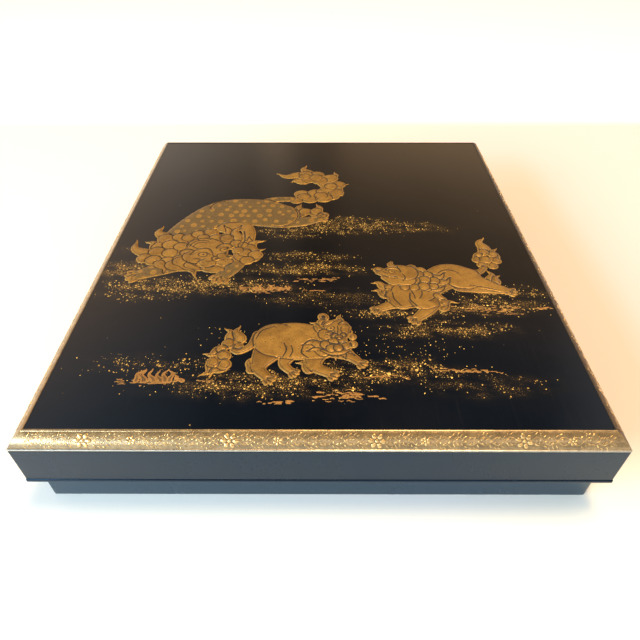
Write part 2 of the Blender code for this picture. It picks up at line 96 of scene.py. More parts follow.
def sweep(section, corner, closed=False):
    """A section of (inset, height) carried round the box: ring i joins ring i + 1, point j to point j + 1."""
    rings = [ring(inset, height, corner) for inset, height in section]
    count = len(rings[0])
    points = np.vstack(rings)
    i = np.arange(len(rings) if closed else len(rings) - 1)[:, None]
    j = np.arange(count)[None, :]
    low, high = i * count, (i + 1) % len(rings) * count
    ahead = (j + 1) % count
    faces = np.stack([low + j, low + ahead, high + ahead, high + j], -1).reshape(-1, 4).tolist()
    if not closed:
        faces.append(list(range(count))[::-1])
        faces.append(list(range(len(points) - count, len(points))))
    return points, faces


def rounded(section, radius, steps=4):
    """The section with each marked corner replaced by a quadratic arc: rows are (inset, height, marked)."""
    out = []
    for k, (x, z, soft) in enumerate(section):
        if not soft:
            out.append((x, z))
            continue
        here = np.array((x, z))
        back = np.array(section[k - 1][:2]) - here
        ahead = np.array(section[(k + 1) % len(section)][:2]) - here
        start = here + back / np.hypot(*back) * radius
        end = here + ahead / np.hypot(*ahead) * radius
        for t in np.linspace(0, 1, steps + 1):
            out.append(tuple((1 - t) ** 2 * start + 2 * t * (1 - t) * here + t ** 2 * end))
    return out


# Lines and forms of the figures, in millimetres on the panel, x to the right and y to the back

def smooth_line(points, steps=6):
    """Catmull-Rom curve through a few points, each with its half width."""
    p = np.array(points, float)
    q = np.vstack([2 * p[0] - p[1], p, 2 * p[-1] - p[-2]])
    t = np.linspace(0, 1, steps, endpoint=False)[:, None]
    rows = []
    for a, b, c, d in zip(q[:-3], q[1:-2], q[2:-1], q[3:]):
        rows.append(b + 0.5 * t * (c - a + t * (2 * a - 5 * b + 4 * c - d + t * (3 * (b - c) + d - a))))
    rows.append(p[-1:])
    return np.vstack(rows)


def stroke(role, *points, fade=0.0):
    """A line of changing half width through a few joints, soft over the first share that fade gives."""
    return [("stroke", role, smooth_line(points), fade)]


def oval(role, x, y, wide, tall=None, turn=0.0, fade=None):
    """An oval by its middle, half lengths and turn, its edge soft round the direction of fade."""
    return [("oval", role, (x, y, wide, tall or wide, np.radians(turn)), fade)]


def flame(x, y, way, length, width, hook=50):
    """A flame-tipped lock: a taper whose heading leans one way and then hooks back."""
    t = np.linspace(0, 1, 12)
    heading = np.radians(way + hook * np.sin(2.1 * np.pi * t) * (0.5 + 0.7 * t))
    step = length / (len(t) - 1)
    px = x + np.concatenate([[0], np.cumsum(np.cos(heading[:-1]))]) * step
    py = y + np.concatenate([[0], np.cumsum(np.sin(heading[:-1]))]) * step
    half = width * (1 - t) ** 1.45 * (1 + 1.0 * t) + 0.16
    return [("stroke", "lock", np.column_stack([px, py, half]), 0.0)]


def flames(*rows):
    """Flame-tipped locks in painting order."""
    return [form for row in rows for form in flame(*row)]


def curl_group(*rows):
    """Round curls in painting order, each by its middle and size."""
    return [form for row in rows for form in oval("curl", *row)]


def curls(path, sizes, sway):
    """Round curls in turn to the left and right of a path."""
    line = smooth_line([(a, b, 0) for a, b in path], 24)[:, :2]
    along = np.concatenate([[0], np.cumsum(np.hypot(*np.diff(line, axis=0).T))])
    found = []
    for i, size in enumerate(sizes):
        k = min(np.searchsorted(along, along[-1] * i / (len(sizes) - 1)), len(line) - 2)
        way = (line[k + 1] - line[k]) / np.hypot(*(line[k + 1] - line[k]))
        side = sway if i % 2 else -sway
        found += oval("curl", line[k][0] - way[1] * side, line[k][1] + way[0] * side, size, size * 0.94)
    return found


def arc_of_curls(x, y, wide, tall, start, end, count, size):
    """Curls along part of an oval, largest in the middle."""
    found = []
    for i in range(count):
        t = i / max(count - 1, 1)
        a = np.radians(start + (end - start) * t)
        found += oval("curl", x + wide * np.cos(a), y + tall * np.sin(a),
                      size * (0.88 + 0.12 * np.sin(np.pi * t)))
    return found


def leg(*points, paw=2.4, toes=0, role="skin", fade=0.25):
    """A leg through a few joints, ending in a broad paw with four toes set fan-wise."""
    x, y = points[-1][:2]
    way = np.degrees(np.arctan2(y - points[-2][1], x - points[-2][0])) + toes
    found = stroke(role, *points, fade=fade)
    for turn in (-54, 54, -18, 18):
        a = np.radians(way + turn)
        found += oval("toe", x + 0.72 * paw * np.cos(a), y + 0.72 * paw * np.sin(a), paw * 0.72, paw * 0.40,
                      way + 0.6 * turn, fade=(way + 180, 70))
    return found


# The three lion-dogs, each painted from its far side to its near side, then the lines drawn on them

def crouching_lion():
    """The large one: body low, head down at the left, tail in a hook above its back."""
    f = []
    # tail: a hook of curls with flame tips
    f += flames((-12, 72, 176, 17, 4.0, 40), (-10, 64, 184, 9, 3.6, -44), (-7, 74, 104, 13, 3.4, 46),
                (6, 68, 66, 10, 3.4, -46), (9, 52, 52, 14, 3.8, 52), (7, 45, 20, 8, 3.4, 60))
    f += curls([(-14, 44.5), (-6, 46), (2, 47), (7.4, 53), (6.5, 62), (0, 68.5), (-10, 70)],
               (4.2, 4.8, 5.0, 5.0, 5.0, 4.8, 4.6, 4.6, 4.8, 5.0, 5.0, 5.0, 4.8, 4.6, 4.2), 3.2)
    f += curl_group((-9.5, 45.0, 3.8), (0.5, 46.5, 4.0), (6.4, 57.5, 3.8), (-2.5, 68.5, 4.0),
                    (-9.5, 70.2, 3.4))
    f += stroke("coat", (-34, 37, 3.4), (-27, 41.5, 3.0), (-17, 42.5, 2.6))
    # far hind leg and its tufts
    f += flames((-10, 27, 98, 11, 3.6, 40), (-2.5, 27, 84, 11, 3.6, -40))
    f += arc_of_curls(-5, 24, 7, 5.0, 170, 10, 4, 3.6)
    f += leg((-20, 19, 7), (-10, 18, 4.6), (-1, 21, 3.4), paw=4.0, toes=6, role="coat")
    # far foreleg
    f += leg((-66, -19, 6.5), (-77, -25, 5.2), (-87, -30, 3.8), paw=4.6, toes=-6, role="coat")
    # body
    f += stroke("coat", (-78, -2, 6.0), (-69, 12, 9.5), (-54, 27, 13), (-36, 28, 14), (-23, 24, 12))
    f += oval("coat", -56, 33.2, 6.0, 5.4, 36, fade=(-50, 110))
    f += oval("coat", -26, 25.0, 14.0, 12.4, -22, fade=(150, 128))
    # near foreleg above the head
    f += oval("skin", -48, 12, 7.5, 5.0, 10)
    f += stroke("skin", (-47, 21, 0.8), (-41, 14.5, 3.4), (-37.6, 7, 3.6), (-37.2, -3, 3.0),
                (-40, -16, 4.0), fade=0.32)
    # mane, outer row of flame-tipped locks
    f += flames((-86, -14, 128, 19, 4.0, 44), (-83, -8, 136, 11, 3.4, -44), (-80.5, 1, 112, 15, 3.8, 50),
                (-49, 1, 98, 14, 3.2, -34), (-43.5, 0, 88, 15, 3.6, 36), (-41, -6, 60, 11, 3.2, -46),
                (-37, -9, 48, 14, 3.4, 44), (-33, -16, 62, 11, 3.2, 46))
    # mane, rounded curls in three columns over a backing
    f += oval("skin", -73, -9, 13.5, 12.5)
    f += oval("skin", -56, -2, 13, 8.0, -14)
    f += oval("skin", -37, -12, 6.5, 8.0)
    for x, y, size in ((-87.5, -16.5, 4.0), (-82.6, -10.6, 4.1), (-80.6, 1.0, 4.4), (-82.6, -18.2, 4.2),
                       (-76.8, -4.4, 4.3), (-75.6, -11.8, 4.0), (-75.4, -19.0, 3.9), (-71.2, -6.2, 3.7),
                       (-69.6, -17.0, 3.4), (-74.0, 2.6, 3.3), (-68.6, 2.0, 3.6), (-57.8, 6.4, 4.3),
                       (-64.2, 5.2, 3.5), (-54.4, 1.4, 3.7), (-48.6, 1.6, 3.6), (-61.0, 2.0, 3.2),
                       (-43.0, -3.4, 3.3), (-37.8, -11.6, 3.5), (-32.2, -13.4, 3.8), (-36.0, -18.2, 3.5),
                       (-41.6, -9.6, 3.0), (-39.4, -4.8, 2.6)):
        f += oval("curl", x, y, size, size * 0.95)
    # near forepaw
    f += leg((-40, -18, 4.6), (-43, -25, 4.4), (-46.5, -30.5, 3.8), paw=4.8, toes=8, role="coat")
    # beard and cheek locks
    f += flames((-79, -21, -60, 10, 2.8, 40), (-72, -22, -34, 19, 3.8, 40), (-69, -19, -30, 17, 3.6, -36),
                (-64, -22, -20, 12, 2.4, -34))
    # head, turned down and to the right
    f += oval("face", -52, -25.2, 6.0, 3.0, -6)
    f += oval("face", -58.5, -8.5, 13.0, 9.6, -30, fade=(150, 60))
    f += oval("curl", -67.0, -11.6, 3.6, 3.0)
    f += oval("face", -62.5, -15.5, 6.4, 5.0, -20, fade=(40, 90))
    f += oval("face", -55.2, -20.6, 5.0, 3.7, -10, fade=(70, 50))
    f += oval("face", -46.8, -19.6, 4.2, 3.4, 16, fade=(120, 50))
    f += stroke("face", (-58.5, -2.5, 2.0), (-54, -8, 2.6), (-49.8, -14, 3.2), fade=0.7)
    f += oval("curl", -51.6, -16.6, 2.2, 1.8, -14)
    f += oval("curl", -45.4, -14.8, 2.0, 1.7, -14)
    f += oval("face", -48.6, -14.6, 3.0, 2.3, -24)
    f += stroke("lock", (-64.6, -13.4, 0.5), (-61.6, -10.0, 1.4), (-57.4, -9.6, 1.6), (-54.6, -12.4, 0.9))
    f += stroke("lock", (-52.4, -7.6, 0.5), (-50.0, -5.2, 1.3), (-46.8, -5.4, 1.4), (-45.0, -8.2, 0.7))
    return f


def leaping_lion():
    """The one at the right: stretched in a leap to the left with its head raised."""
    f = []
    # tail bulb
    f += flames((83.5, -9, 84, 13, 3.4, 44), (78.8, -15, 74, 9, 2.4, -40), (87.5, -15, 76, 9, 2.4, 46))
    f += curl_group((79.4, -21.4, 2.6), (84.6, -22.4, 2.7), (77.8, -17.4, 2.5), (87.4, -18.2, 2.6),
                    (82.2, -17.2, 3.1), (86.6, -13.0, 2.6), (82.4, -11.0, 2.9), (79.6, -13.2, 2.0))
    f += stroke("skin", (71, -28, 3.0), (76.5, -27.4, 2.0), (80, -24, 1.6), fade=0.4)
    f += flames((80.5, -34.5, 84, 9.5, 2.6, -42), (83, -35.5, 66, 7, 2.2, 46))
    # far legs
    f += leg((66, -38, 4.6), (77, -41.0, 2.6), (84.5, -42.0, 1.9), paw=2.3, toes=4)
    f += leg((41, -50, 4.0), (33, -51.5, 2.9), (26.5, -54.6, 2.2), paw=3.1, toes=14)
    # throat curls
    f += flames((30, -39, 148, 7.5, 2.3, -50), (30, -45, 146, 8, 2.3, -50))
    f += curl_group((32.4, -39.2, 2.2), (30.2, -42.6, 1.7), (31.6, -45.6, 1.9))
    # body
    f += stroke("skin", (46, -42, 8.0), (53, -36.0, 8.0), (61.5, -30.2, 9.2), (68.5, -32, 8.6))
    f += leg((69.5, -34, 7.6), (78, -37.4, 4.0), (87.0, -42.2, 2.4), paw=3.1, toes=10)
    f += oval("skin", 67.2, -31.8, 9.2, 8.4, -30, fade=(60, 150))
    f += oval("skin", 40.0, -43.0, 7.0, 7.0)
    f += oval("skin", 36.8, -46.2, 6.4, 8.8, 10, fade=(90, 60))
    # elbow tuft and near foreleg
    f += flames((54, -45.5, -64, 8, 1.9, 40), (55, -54.5, 34, 11, 1.9, 60))
    f += oval("curl", 56.0, -50.4, 2.3)
    f += leg((50, -51, 4.6), (47.6, -55.6, 3.4), (42.6, -60.8, 2.4), paw=3.3, toes=-4)
    f += oval("skin", 47.4, -47.6, 7.0, 7.6, -20, fade=(70, 130))
    # mane
    f += flames((52, -32, 20, 10, 2.4, -46), (55, -36, 24, 9, 2.4, -46), (51, -40.5, 10, 9, 2.2, -46))
    f += oval("skin", 47.4, -33.0, 7.0, 9.6, 24)
    f += curl_group((44.6, -23.8, 2.5), (48.6, -26.2, 2.7), (51.4, -30.0, 2.7), (47.0, -29.4, 2.8),
                    (54.0, -34.4, 2.7), (49.6, -33.6, 2.8), (53.0, -38.6, 2.4), (48.6, -38.6, 2.8),
                    (44.6, -34.0, 2.8), (43.8, -39.4, 2.6), (39.6, -39.4, 2.3))
    # head, raised, with an open mouth
    f += stroke("face", (41, -33.5, 4.6), (35.4, -35.0, 2.8), (30.6, -31.8, 1.6))
    f += stroke("face", (41.4, -28.2, 5.8), (37.5, -27.2, 5.4), (32.5, -28.2, 3.6), (29.2, -27.0, 2.9))
    f += oval("face", 28.0, -25.4, 2.4, 1.9, 24)
    f += stroke("lock", (36.6, -23.6, 1.3), (34.6, -21.6, 1.7), (35.2, -19.4, 0.8))
    f += stroke("lock", (32.0, -26.2, 0.35), (34.0, -24.6, 0.9), (37.0, -25.0, 1.0), (38.6, -27.6, 0.5))
    return f


def walking_lion():
    """The small one in front: walking to the right with its head turned to the viewer."""
    f = []
    # tail of round curls with flame tips
    f += flames((-37.0, -74, 112, 8.5, 2.4, -44), (-33.0, -74, 100, 9.5, 2.6, 46),
                (-40.5, -80, 206, 8, 2.4, 46), (-42.5, -87, 244, 10, 2.4, 46), (-38, -90, 224, 8, 2.2, -46))
    f += curl_group((-33.6, -78.6, 2.8), (-37.6, -76.8, 3.0), (-39.8, -79.8, 2.4), (-38.6, -83.6, 3.2),
                    (-37.8, -88.4, 3.1), (-42.4, -87.2, 2.9))
    f += stroke("skin", (-26, -71, 2.2), (-28.0, -77.5, 1.9), (-32.5, -81.2, 1.6), (-35.5, -80.4, 1.2),
                fade=0.3)
    # far legs
    f += leg((-12, -82, 4.0), (-14, -88, 2.4), (-11, -92.0, 1.8), paw=2.6, toes=14)
    f += leg((5, -80, 4.4), (12.2, -83.5, 2.7), (16.0, -87.0, 1.9), paw=2.7)
    # body
    f += stroke("skin", (-18, -74.5, 9.6), (-10, -74.8, 11.0), (0, -76, 9.4))
    f += oval("skin", -18.8, -72.5, 8.6, 8.0, 30, fade=(-70, 130))
    f += flame(-26.5, -91, 98, 8, 2.2, 44)
    f += leg((-20.5, -80, 6.6), (-24, -89.5, 3.2), (-20.5, -95, 2.2), paw=3.0, toes=16, fade=0.45)
    f += flame(-4, -91, 140, 7.5, 2.2, -48)
    f += leg((-1.5, -80, 6.0), (-2.0, -88.6, 3.2), (4.0, -93.0, 2.2), paw=3.0, toes=6, fade=0.45)
    # mane
    f += flames((0, -68, 128, 7, 1.9, -46), (1, -77.5, 176, 9, 2.1, -46), (2, -82, 168, 8, 2.0, -46))
    # ruff and beard
    f += flames((5.0, -81.6, -66, 5.0, 1.4, 30), (8.4, -81.4, -58, 4.6, 1.4, 30),
                (11.6, -80.4, -46, 4.2, 1.2, 30))
    f += stroke("skin", (1.0, -80.6, 0.6), (5.0, -82.0, 1.2), (9.4, -81.6, 1.2), (12.8, -79.4, 0.6))
    for x, y, size in ((12.4, -66.8, 1.3), (12.8, -69.4, 1.4), (13.9, -72.4, 1.8), (13.8, -76.8, 2.1),
                       (2.4, -77.2, 2.1), (4.8, -79.4, 2.1), (10.8, -77.6, 2.4), (7.8, -79.0, 2.0)):
        f += oval("curl", x, y, size, size * 1.1)
    # head, turned to the viewer's right
    f += oval("ear", 1.7, -60.2, 2.5, 2.9, 20)
    f += oval("curl", 0.9, -63.6, 2.3)
    f += flame(8.8, -63.0, 88, 5.0, 1.8, 30)
    f += stroke("face", (4.6, -65.8, 3.8), (9.0, -66.0, 3.9), (9.2, -70.5, 3.6), (7.8, -74.4, 2.7))
    f += oval("face", 2.4, -71.2, 3.0, 3.4, 10, fade=(40, 40))
    f += oval("face", 6.0, -75.0, 2.4, 1.8, -10, fade=(90, 60))
    f += oval("face", 9.8, -74.8, 2.1, 1.7, 10, fade=(90, 60))
    f += oval("curl", 6.4, -71.9, 1.6, 1.4)
    f += oval("curl", 10.0, -71.4, 1.3, 1.2)
    f += oval("face", 8.2, -72.8, 1.7, 1.4)
    f += stroke("lock", (1.8, -65.6, 0.4), (4.0, -64.0, 1.2), (6.8, -61.8, 0.5))
    f += stroke("lock", (8.4, -64.8, 0.4), (10.4, -63.6, 0.9), (12.0, -65.2, 0.3))
    return f


def ink(*points):
    """A drawn dark line through a few joints."""
    return stroke("ink", *points)


def eye(x, y, size, turn=0):
    """A round eye: dark rim, gold ball and dark pupil."""
    return (oval("ink", x, y, size, size * 0.78, turn) + oval("bright", x, y, size * 0.72, size * 0.56, turn)
            + oval("ink", x + 0.1 * size, y, size * 0.24))


def crouching_marks():
    """Eyes, brows, nose, mouth with teeth, beard spots and leg line of the crouching one."""
    m = eye(-58.6, -13.6, 2.5, -14) + eye(-48.6, -9.4, 2.2, -20)
    for step in range(3):
        r = 4.2 + 1.9 * step
        m += ink(*[(-60.5 + r * np.cos(a), -7 + r * np.sin(a), 0.28)
                   for a in np.radians((176, 146, 116, 86, 60))])
    m += ink((-63.0, -17.5, 0.25), (-60.5, -17.2, 0.3), (-58.2, -18.2, 0.25))
    m += ink((-60.4, -22.0, 0.4), (-55.5, -24.6, 0.5), (-51.2, -22.6, 0.5), (-47.4, -23.6, 0.5),
             (-43.4, -20.6, 0.4))
    for x, y in ((-56.4, -25.2), (-47.2, -24.4)):
        m += stroke("bright", (x, y + 1.4, 0.55), (x + 0.2, y - 0.6, 0.15))
    for x, y in ((-57.4, -20.4), (-55.8, -19.2), (-54.8, -21.4),
                 (-46.4, -19.4), (-44.8, -20.4), (-45.6, -18.2)):
        m += oval("ink", x, y, 0.3)
    m += oval("ink", -51.4, -17.0, 0.7, 0.5) + oval("ink", -45.6, -15.2, 0.7, 0.5)
    for step in range(3):
        m += ink((-66.0 + 1.6 * step, -18.6 - step, 0.2), (-64.4 + 1.4 * step, -20.6 - step, 0.25),
                 (-61.8 + 1.4 * step, -21.2 - step, 0.2))
    m += ink((-40, 8, 0.3), (-39, 0, 0.3), (-40.4, -7, 0.2))
    return m


def leaping_marks():
    """Eye, mouth with teeth, cheek and body lines of the leaping one."""
    m = eye(34.6, -27.6, 1.7, 12)
    m += ink((26.8, -29.0, 0.25), (29.6, -30.4, 0.35), (33.4, -31.8, 0.4), (36.2, -31.2, 0.3))
    m += ink((27.0, -26.0, 0.25), (27.9, -26.7, 0.3), (28.9, -26.2, 0.2))
    m += ink((39.6, -29.4, 0.2), (40.6, -32.0, 0.28), (39.2, -34.8, 0.2))
    m += ink((30.4, -27.2, 0.15), (31.4, -28.4, 0.2), (32.8, -28.9, 0.15))
    for x in (29.6, 31.2, 33.0):
        m += oval("bright", x, -31.5, 0.35, 0.5)
    m += ink((56.4, -29.0, 0.2), (59.6, -26.4, 0.3), (64.0, -26.6, 0.3), (66.6, -29.0, 0.2))
    m += ink((60.4, -37.4, 0.2), (63.6, -40.0, 0.3), (68.4, -40.4, 0.2))
    m += ink((41.4, -44.0, 0.3), (41.0, -48.4, 0.35), (43.4, -52.6, 0.3))
    m += ink((33.4, -43.4, 0.25), (33.8, -48.0, 0.3), (36.4, -52.6, 0.25))
    m += ink((70.0, -38.0, 0.2), (76.0, -39.2, 0.25), (81.6, -41.2, 0.2))
    return m


def walking_marks():
    """Eyes, brow, nose, mouth, body lines and a scatter of fine spots of the walking one."""
    m = eye(4.7, -67.6, 1.9, 24) + eye(10.4, -66.8, 1.1, 100)
    for step in range(2):
        m += ink((2.6 - 0.4 * step, -70.0 - step, 0.2), (4.8, -70.6 - step, 0.25),
                 (6.6, -69.6 - 0.6 * step, 0.2))
    m += ink((7.6, -66.0, 0.2), (7.9, -68.4, 0.22), (7.4, -70.4, 0.2))
    m += ink((9.2, -66.6, 0.2), (9.1, -68.6, 0.22), (9.6, -70.2, 0.2))
    m += ink((4.6, -76.2, 0.25), (7.9, -76.8, 0.4), (11.0, -75.8, 0.25))
    m += oval("ink", 7.4, -73.2, 0.4) + oval("ink", 9.0, -73.1, 0.4) + oval("ink", 1.7, -60.4, 0.9, 1.1, 20)
    for x, y in ((4.8, -74.6), (5.8, -75.4), (10.2, -75.0), (2.2, -72.0), (3.2, -73.0), (1.6, -70.4)):
        m += oval("ink", x, y, 0.24)
    m += ink((-14.6, -76.4, 0.2), (-13.4, -80.4, 0.3), (-14.8, -84.4, 0.2))
    m += ink((-11.6, -78.0, 0.2), (-10.8, -81.0, 0.25), (-11.8, -84.0, 0.2))
    m += ink((-6.6, -78.0, 0.2), (-7.2, -82.0, 0.3), (-4.4, -85.0, 0.2))
    m += ink((-19.0, -66.4, 0.2), (-24.2, -69.0, 0.28), (-26.4, -74.0, 0.2))
    rng = np.random.default_rng(4)
    for x, y in rng.uniform((-25, -82), (0, -66), (38, 2)):
        m += oval("ink", x, y, 0.22)
    return m


# Relief worked out on a grid

def form_reach(kind, data):
    """Lower left and upper right corner of the square round a form."""
    if kind == "oval":
        r = max(data[2:4])
        return np.array((data[0] - r, data[1] - r, data[0] + r, data[1] + r))
    return np.concatenate([(data[:, :2] - data[:, 2:]).min(0), (data[:, :2] + data[:, 2:]).max(0)])


def form_fields(kind, data, x, y):
    """Depth inside a form in millimetres, and its two coordinates: along and across, or turn and share."""
    if kind == "oval":
        cx, cy, wide, tall, turn = data
        u = (x - cx) * np.cos(turn) + (y - cy) * np.sin(turn)
        v = (y - cy) * np.cos(turn) - (x - cx) * np.sin(turn)
        q = np.hypot(u / wide, v / tall) + 1e-9
        depth = np.minimum((1 - q) * q / (np.hypot(u / wide ** 2, v / tall ** 2) + 1e-9), min(wide, tall))
        return depth, (np.arctan2(v, u) + turn) / (2 * np.pi), q
    best = np.full(x.shape, -99.0)
    along = np.zeros(x.shape)
    across = np.zeros(x.shape)
    for k, (a, b) in enumerate(zip(data[:-1], data[1:])):
        run = b[:2] - a[:2]
        share = np.clip(((x - a[0]) * run[0] + (y - a[1]) * run[1]) / (run @ run + 1e-12), 0, 1)
        gap = np.hypot(x - a[0] - share * run[0], y - a[1] - share * run[1])
        half = a[2] + (b[2] - a[2]) * share
        nearer = half - gap > best
        side = np.sign(run[0] * (y - a[1]) - run[1] * (x - a[0]))
        best = np.where(nearer, half - gap, best)
        along = np.where(nearer, (k + share) / (len(data) - 1), along)
        across = np.where(nearer, side * gap / np.maximum(half, 0.1), across)
    return best, along, across


def window(xs, ys, reach, spare):
    """Rows and columns of a grid within a form's reach and a little round it."""
    c0, c1 = np.searchsorted(xs, (reach[0] - spare, reach[2] + spare))
    r0, r1 = np.searchsorted(ys, (reach[1] - spare, reach[3] + spare))
    return slice(r0, r1), slice(c0, c1)


def line_mark(distance, width):
    """A soft line: a bell curve of the distance from its middle."""
    return np.exp(-(distance / width) ** 2)


def relief_fields(forms, marks, pitch):
    """Painter's order on a grid: whole depth, own depth, height, ink, tone (with painted shade towards each
    form's edge) and coat at each point.
    """
    reach = np.array([form_reach(kind, data) for kind, _, data, _ in forms])
    xs = np.arange(reach[:, 0].min() - 1, reach[:, 2].max() + 1, pitch)
    ys = np.arange(reach[:, 1].min() - 1, reach[:, 3].max() + 1, pitch)
    shape = (len(ys), len(xs))
    whole = np.full(shape, -9.0)
    own = np.full(shape, -9.0)
    groove, inner, tone, coat, lift = np.zeros((5,) + shape)
    rng = np.random.default_rng(5)
    for kind, role, data, fade in forms:
        w = window(xs, ys, form_reach(kind, data), 1.2)
        x, y = np.meshgrid(xs[w[1]], ys[w[0]])
        depth, along, across = form_fields(kind, data, x, y)
        inside = depth > 0
        melt = np.zeros(x.shape)
        if fade and kind == "stroke":
            melt = np.clip(1.3 - along / fade, 0, 1)
        elif fade:
            off = np.abs((along * 360 - fade[0] + 180) % 360 - 180)
            melt = np.clip((fade[1] - off) / 25, 0, 1)
        edge = line_mark(depth, 0.36) * (1 - melt)
        groove[w] = np.where(inside, np.maximum(edge, groove[w] * melt), np.maximum(groove[w], edge))
        pattern = np.zeros(x.shape)
        if role == "curl":
            size = max(data[2:4])
            phase = across * 1.5 - along + rng.random()
            gap = np.abs(phase - np.round(phase)) * size / 1.5
            pattern = line_mark(gap, 0.24) * np.clip((across - 0.16) * 6, 0, 1)
            pattern = pattern * np.clip((0.86 - across) * 6, 0, 1)
        if role == "lock":
            half = np.interp(along, np.linspace(0, 1, len(data)), data[:, 2])
            for place in (-0.42, 0.36):
                gap = np.abs(across - place) * half
                pattern = np.maximum(pattern, line_mark(gap, 0.22) * np.clip((0.55 - along) * 5, 0, 1))
        inner[w] = np.where(inside, np.maximum(0.75 * pattern, inner[w] * melt), inner[w])
        shade = rng.uniform(0.35, 0.65) + {"curl": 0.06, "lock": 0.1, "toe": 0.1, "face": -0.05}.get(role, 0)
        tone[w] = np.where(inside, shade + (tone[w] - shade) * melt, tone[w])
        spotted = 1.0 if role == "coat" else 0.0
        coat[w] = np.where(inside, spotted + (coat[w] - spotted) * melt, coat[w])
        own[w] = np.where(inside, depth + (np.maximum(own[w], depth) - depth) * melt, own[w])
        whole[w] = np.maximum(whole[w], depth)
    x, y = np.meshgrid(xs, ys)
    coat, tone, inner = ring_spots(x, y, own, coat, tone, inner)
    for kind, role, data, _ in marks:
        w = window(xs, ys, form_reach(kind, data), 0.8)
        depth = form_fields(kind, data, x[w], y[w])[0]
        cover = np.clip((depth + 0.08) / 0.18 + 0.5, 0, 1)
        if role == "ink":
            inner[w] = np.maximum(inner[w], cover)
        else:
            inner[w] = inner[w] * (1 - cover)
            groove[w] = groove[w] * (1 - cover)
            coat[w] = coat[w] * (1 - cover)
            tone[w] = tone[w] * (1 - cover) + cover * (1.0 if role == "bright" else 0.6)
            lift[w] = np.maximum(lift[w], 0.10 * cover)
    within = np.clip((whole - 0.25) / 0.45, 0, 1)
    # painted shade: each form darker towards its own edge and lighter in its middle
    tone = tone * (0.62 + 0.5 * (1 - np.exp(-np.clip(own, 0, None) / 0.9)))
    tone += 0.35 * np.clip((0.62 - whole) / 0.25, 0, 1)
    height = RELIEF_EDGE * np.clip(whole / RELIEF_SLOPE, 0, 1)
    height += RELIEF_DOME * (1 - np.exp(-np.clip(own, 0, None) / 1.2)) * np.clip(whole - RELIEF_SLOPE, 0, 1)
    height += (lift - 0.20 * groove - 0.09 * inner) * within
    outline = 0.8 * line_mark(whole - 0.85, 0.24)
    ink = np.clip(np.maximum(np.maximum(groove, 0.85 * inner), outline), 0, 1) * within
    return xs, ys, whole, np.maximum(height, 0.02), {"ink": ink, "tone": tone, "coat": coat}


def ring_spots(x, y, own, coat, tone, inner):
    """Ring spots on the coat: a jittered lattice, each spot a gold ring round a darker dot."""
    rng = np.random.default_rng(11)
    step = 5.9
    found = np.zeros(x.shape)
    dots = np.zeros(x.shape)
    for i, a in enumerate(np.arange(x.min(), x.max(), step)):
        for j, b in enumerate(np.arange(y.min(), y.max(), step * 0.87)):
            cx = a + (step / 2 if j % 2 else 0) + rng.uniform(-1.4, 1.4)
            cy = b + rng.uniform(-1.4, 1.4)
            size = rng.uniform(0.9, 2.1)
            w = window(x[0], y[:, 0], (cx, cy, cx, cy), 3)
            gap = np.hypot((x[w] - cx) / 0.85, y[w] - cy)
            found[w] = np.maximum(found[w], np.clip((size - gap) / 0.35 + 0.5, 0, 1))
            slit = np.hypot((x[w] - cx) / 1.5, (y[w] - cy) / 0.8)
            dots[w] = np.maximum(dots[w], line_mark(slit, size * 0.26))
    rim = line_mark(own - 0.75, 0.42)
    gold = np.maximum(found, rim) * coat
    inner = np.maximum(inner, dots * coat * 0.8)
    return coat * (1 - 0.9 * np.maximum(found, rim)), np.where(gold > 0.5, 0.85, tone), inner


def relief_piece(name, xs, ys, whole, height, numbers, material, sunk=0.3):
    """Squares whose middle is inside, border points moved on to the outline, walls and a floor."""
    chosen = (whole[:-1, :-1] + whole[1:, :-1] + whole[:-1, 1:] + whole[1:, 1:]) > 0
    for _ in range(3):
        a, b, c, d = chosen[:-1, :-1], chosen[:-1, 1:], chosen[1:, :-1], chosen[1:, 1:]
        pinch = (a & d & ~b & ~c) | (b & c & ~a & ~d)
        chosen[:-1, :-1] |= pinch
        chosen[:-1, 1:] |= pinch
        chosen[1:, :-1] |= pinch
    rows, cols = np.nonzero(chosen)
    wide = len(xs)
    corner = rows * wide + cols
    quads = np.stack([corner, corner + 1, corner + 1 + wide, corner + wide], -1)
    used, inverse = np.unique(quads, return_inverse=True)
    quads = inverse.reshape(-1, 4)
    r, c = used // wide, used % wide
    x, y = xs[c].copy(), ys[r].copy()
    z = np.minimum(height[r, c], RELIEF_EDGE + RELIEF_DOME)
    border = np.bincount(quads.ravel(), minlength=len(used)) < 4
    gy, gx = np.gradient(whole, ys[1] - ys[0], xs[1] - xs[0])
    slope = gx[r, c] ** 2 + gy[r, c] ** 2 + 1e-6
    pull = np.clip(whole[r, c] / slope, -0.3, 0.3)
    x[border] -= (pull * gx[r, c])[border]
    y[border] -= (pull * gy[r, c])[border]
    z[border] = RELIEF_BORDER
    edges = np.concatenate([quads[:, [k, (k + 1) % 4]] for k in range(4)])
    keys = np.sort(edges, 1)
    _, first, counts = np.unique(keys[:, 0] * len(used) + keys[:, 1], return_index=True, return_counts=True)
    rim = edges[first[counts == 1]]
    low = np.full(len(used), -1)
    ends = np.unique(rim)
    low[ends] = len(used) + np.arange(len(ends))
    walls = np.stack([rim[:, 1], rim[:, 0], low[rim[:, 0]], low[rim[:, 1]]], -1)
    places = [Vector((xs[c[k]], ys[r[k]])) for k in ends]
    order = np.full(len(used), -1)
    order[ends] = np.arange(len(ends))
    _, _, floor, source, _, _ = delaunay_2d_cdt(places, order[rim].tolist(), [], 2, 1e-7)
    points = np.vstack([np.column_stack([x, y, z]),
                        np.column_stack([x[ends], y[ends], np.full(len(ends), -sunk)])])
    points[:, 2] += PANEL
    bottom = [[len(used) + source[k][0] for k in face][::-1] for face in floor]
    values = {key: np.concatenate([v[r, c], v[r, c][ends]]) for key, v in numbers.items()}
    return make_piece(name, points, quads.tolist() + walls.tolist() + bottom, [material], values)


# Ground of gold dust. Each band: middle, half length, half height, share of grains, share of soft mist

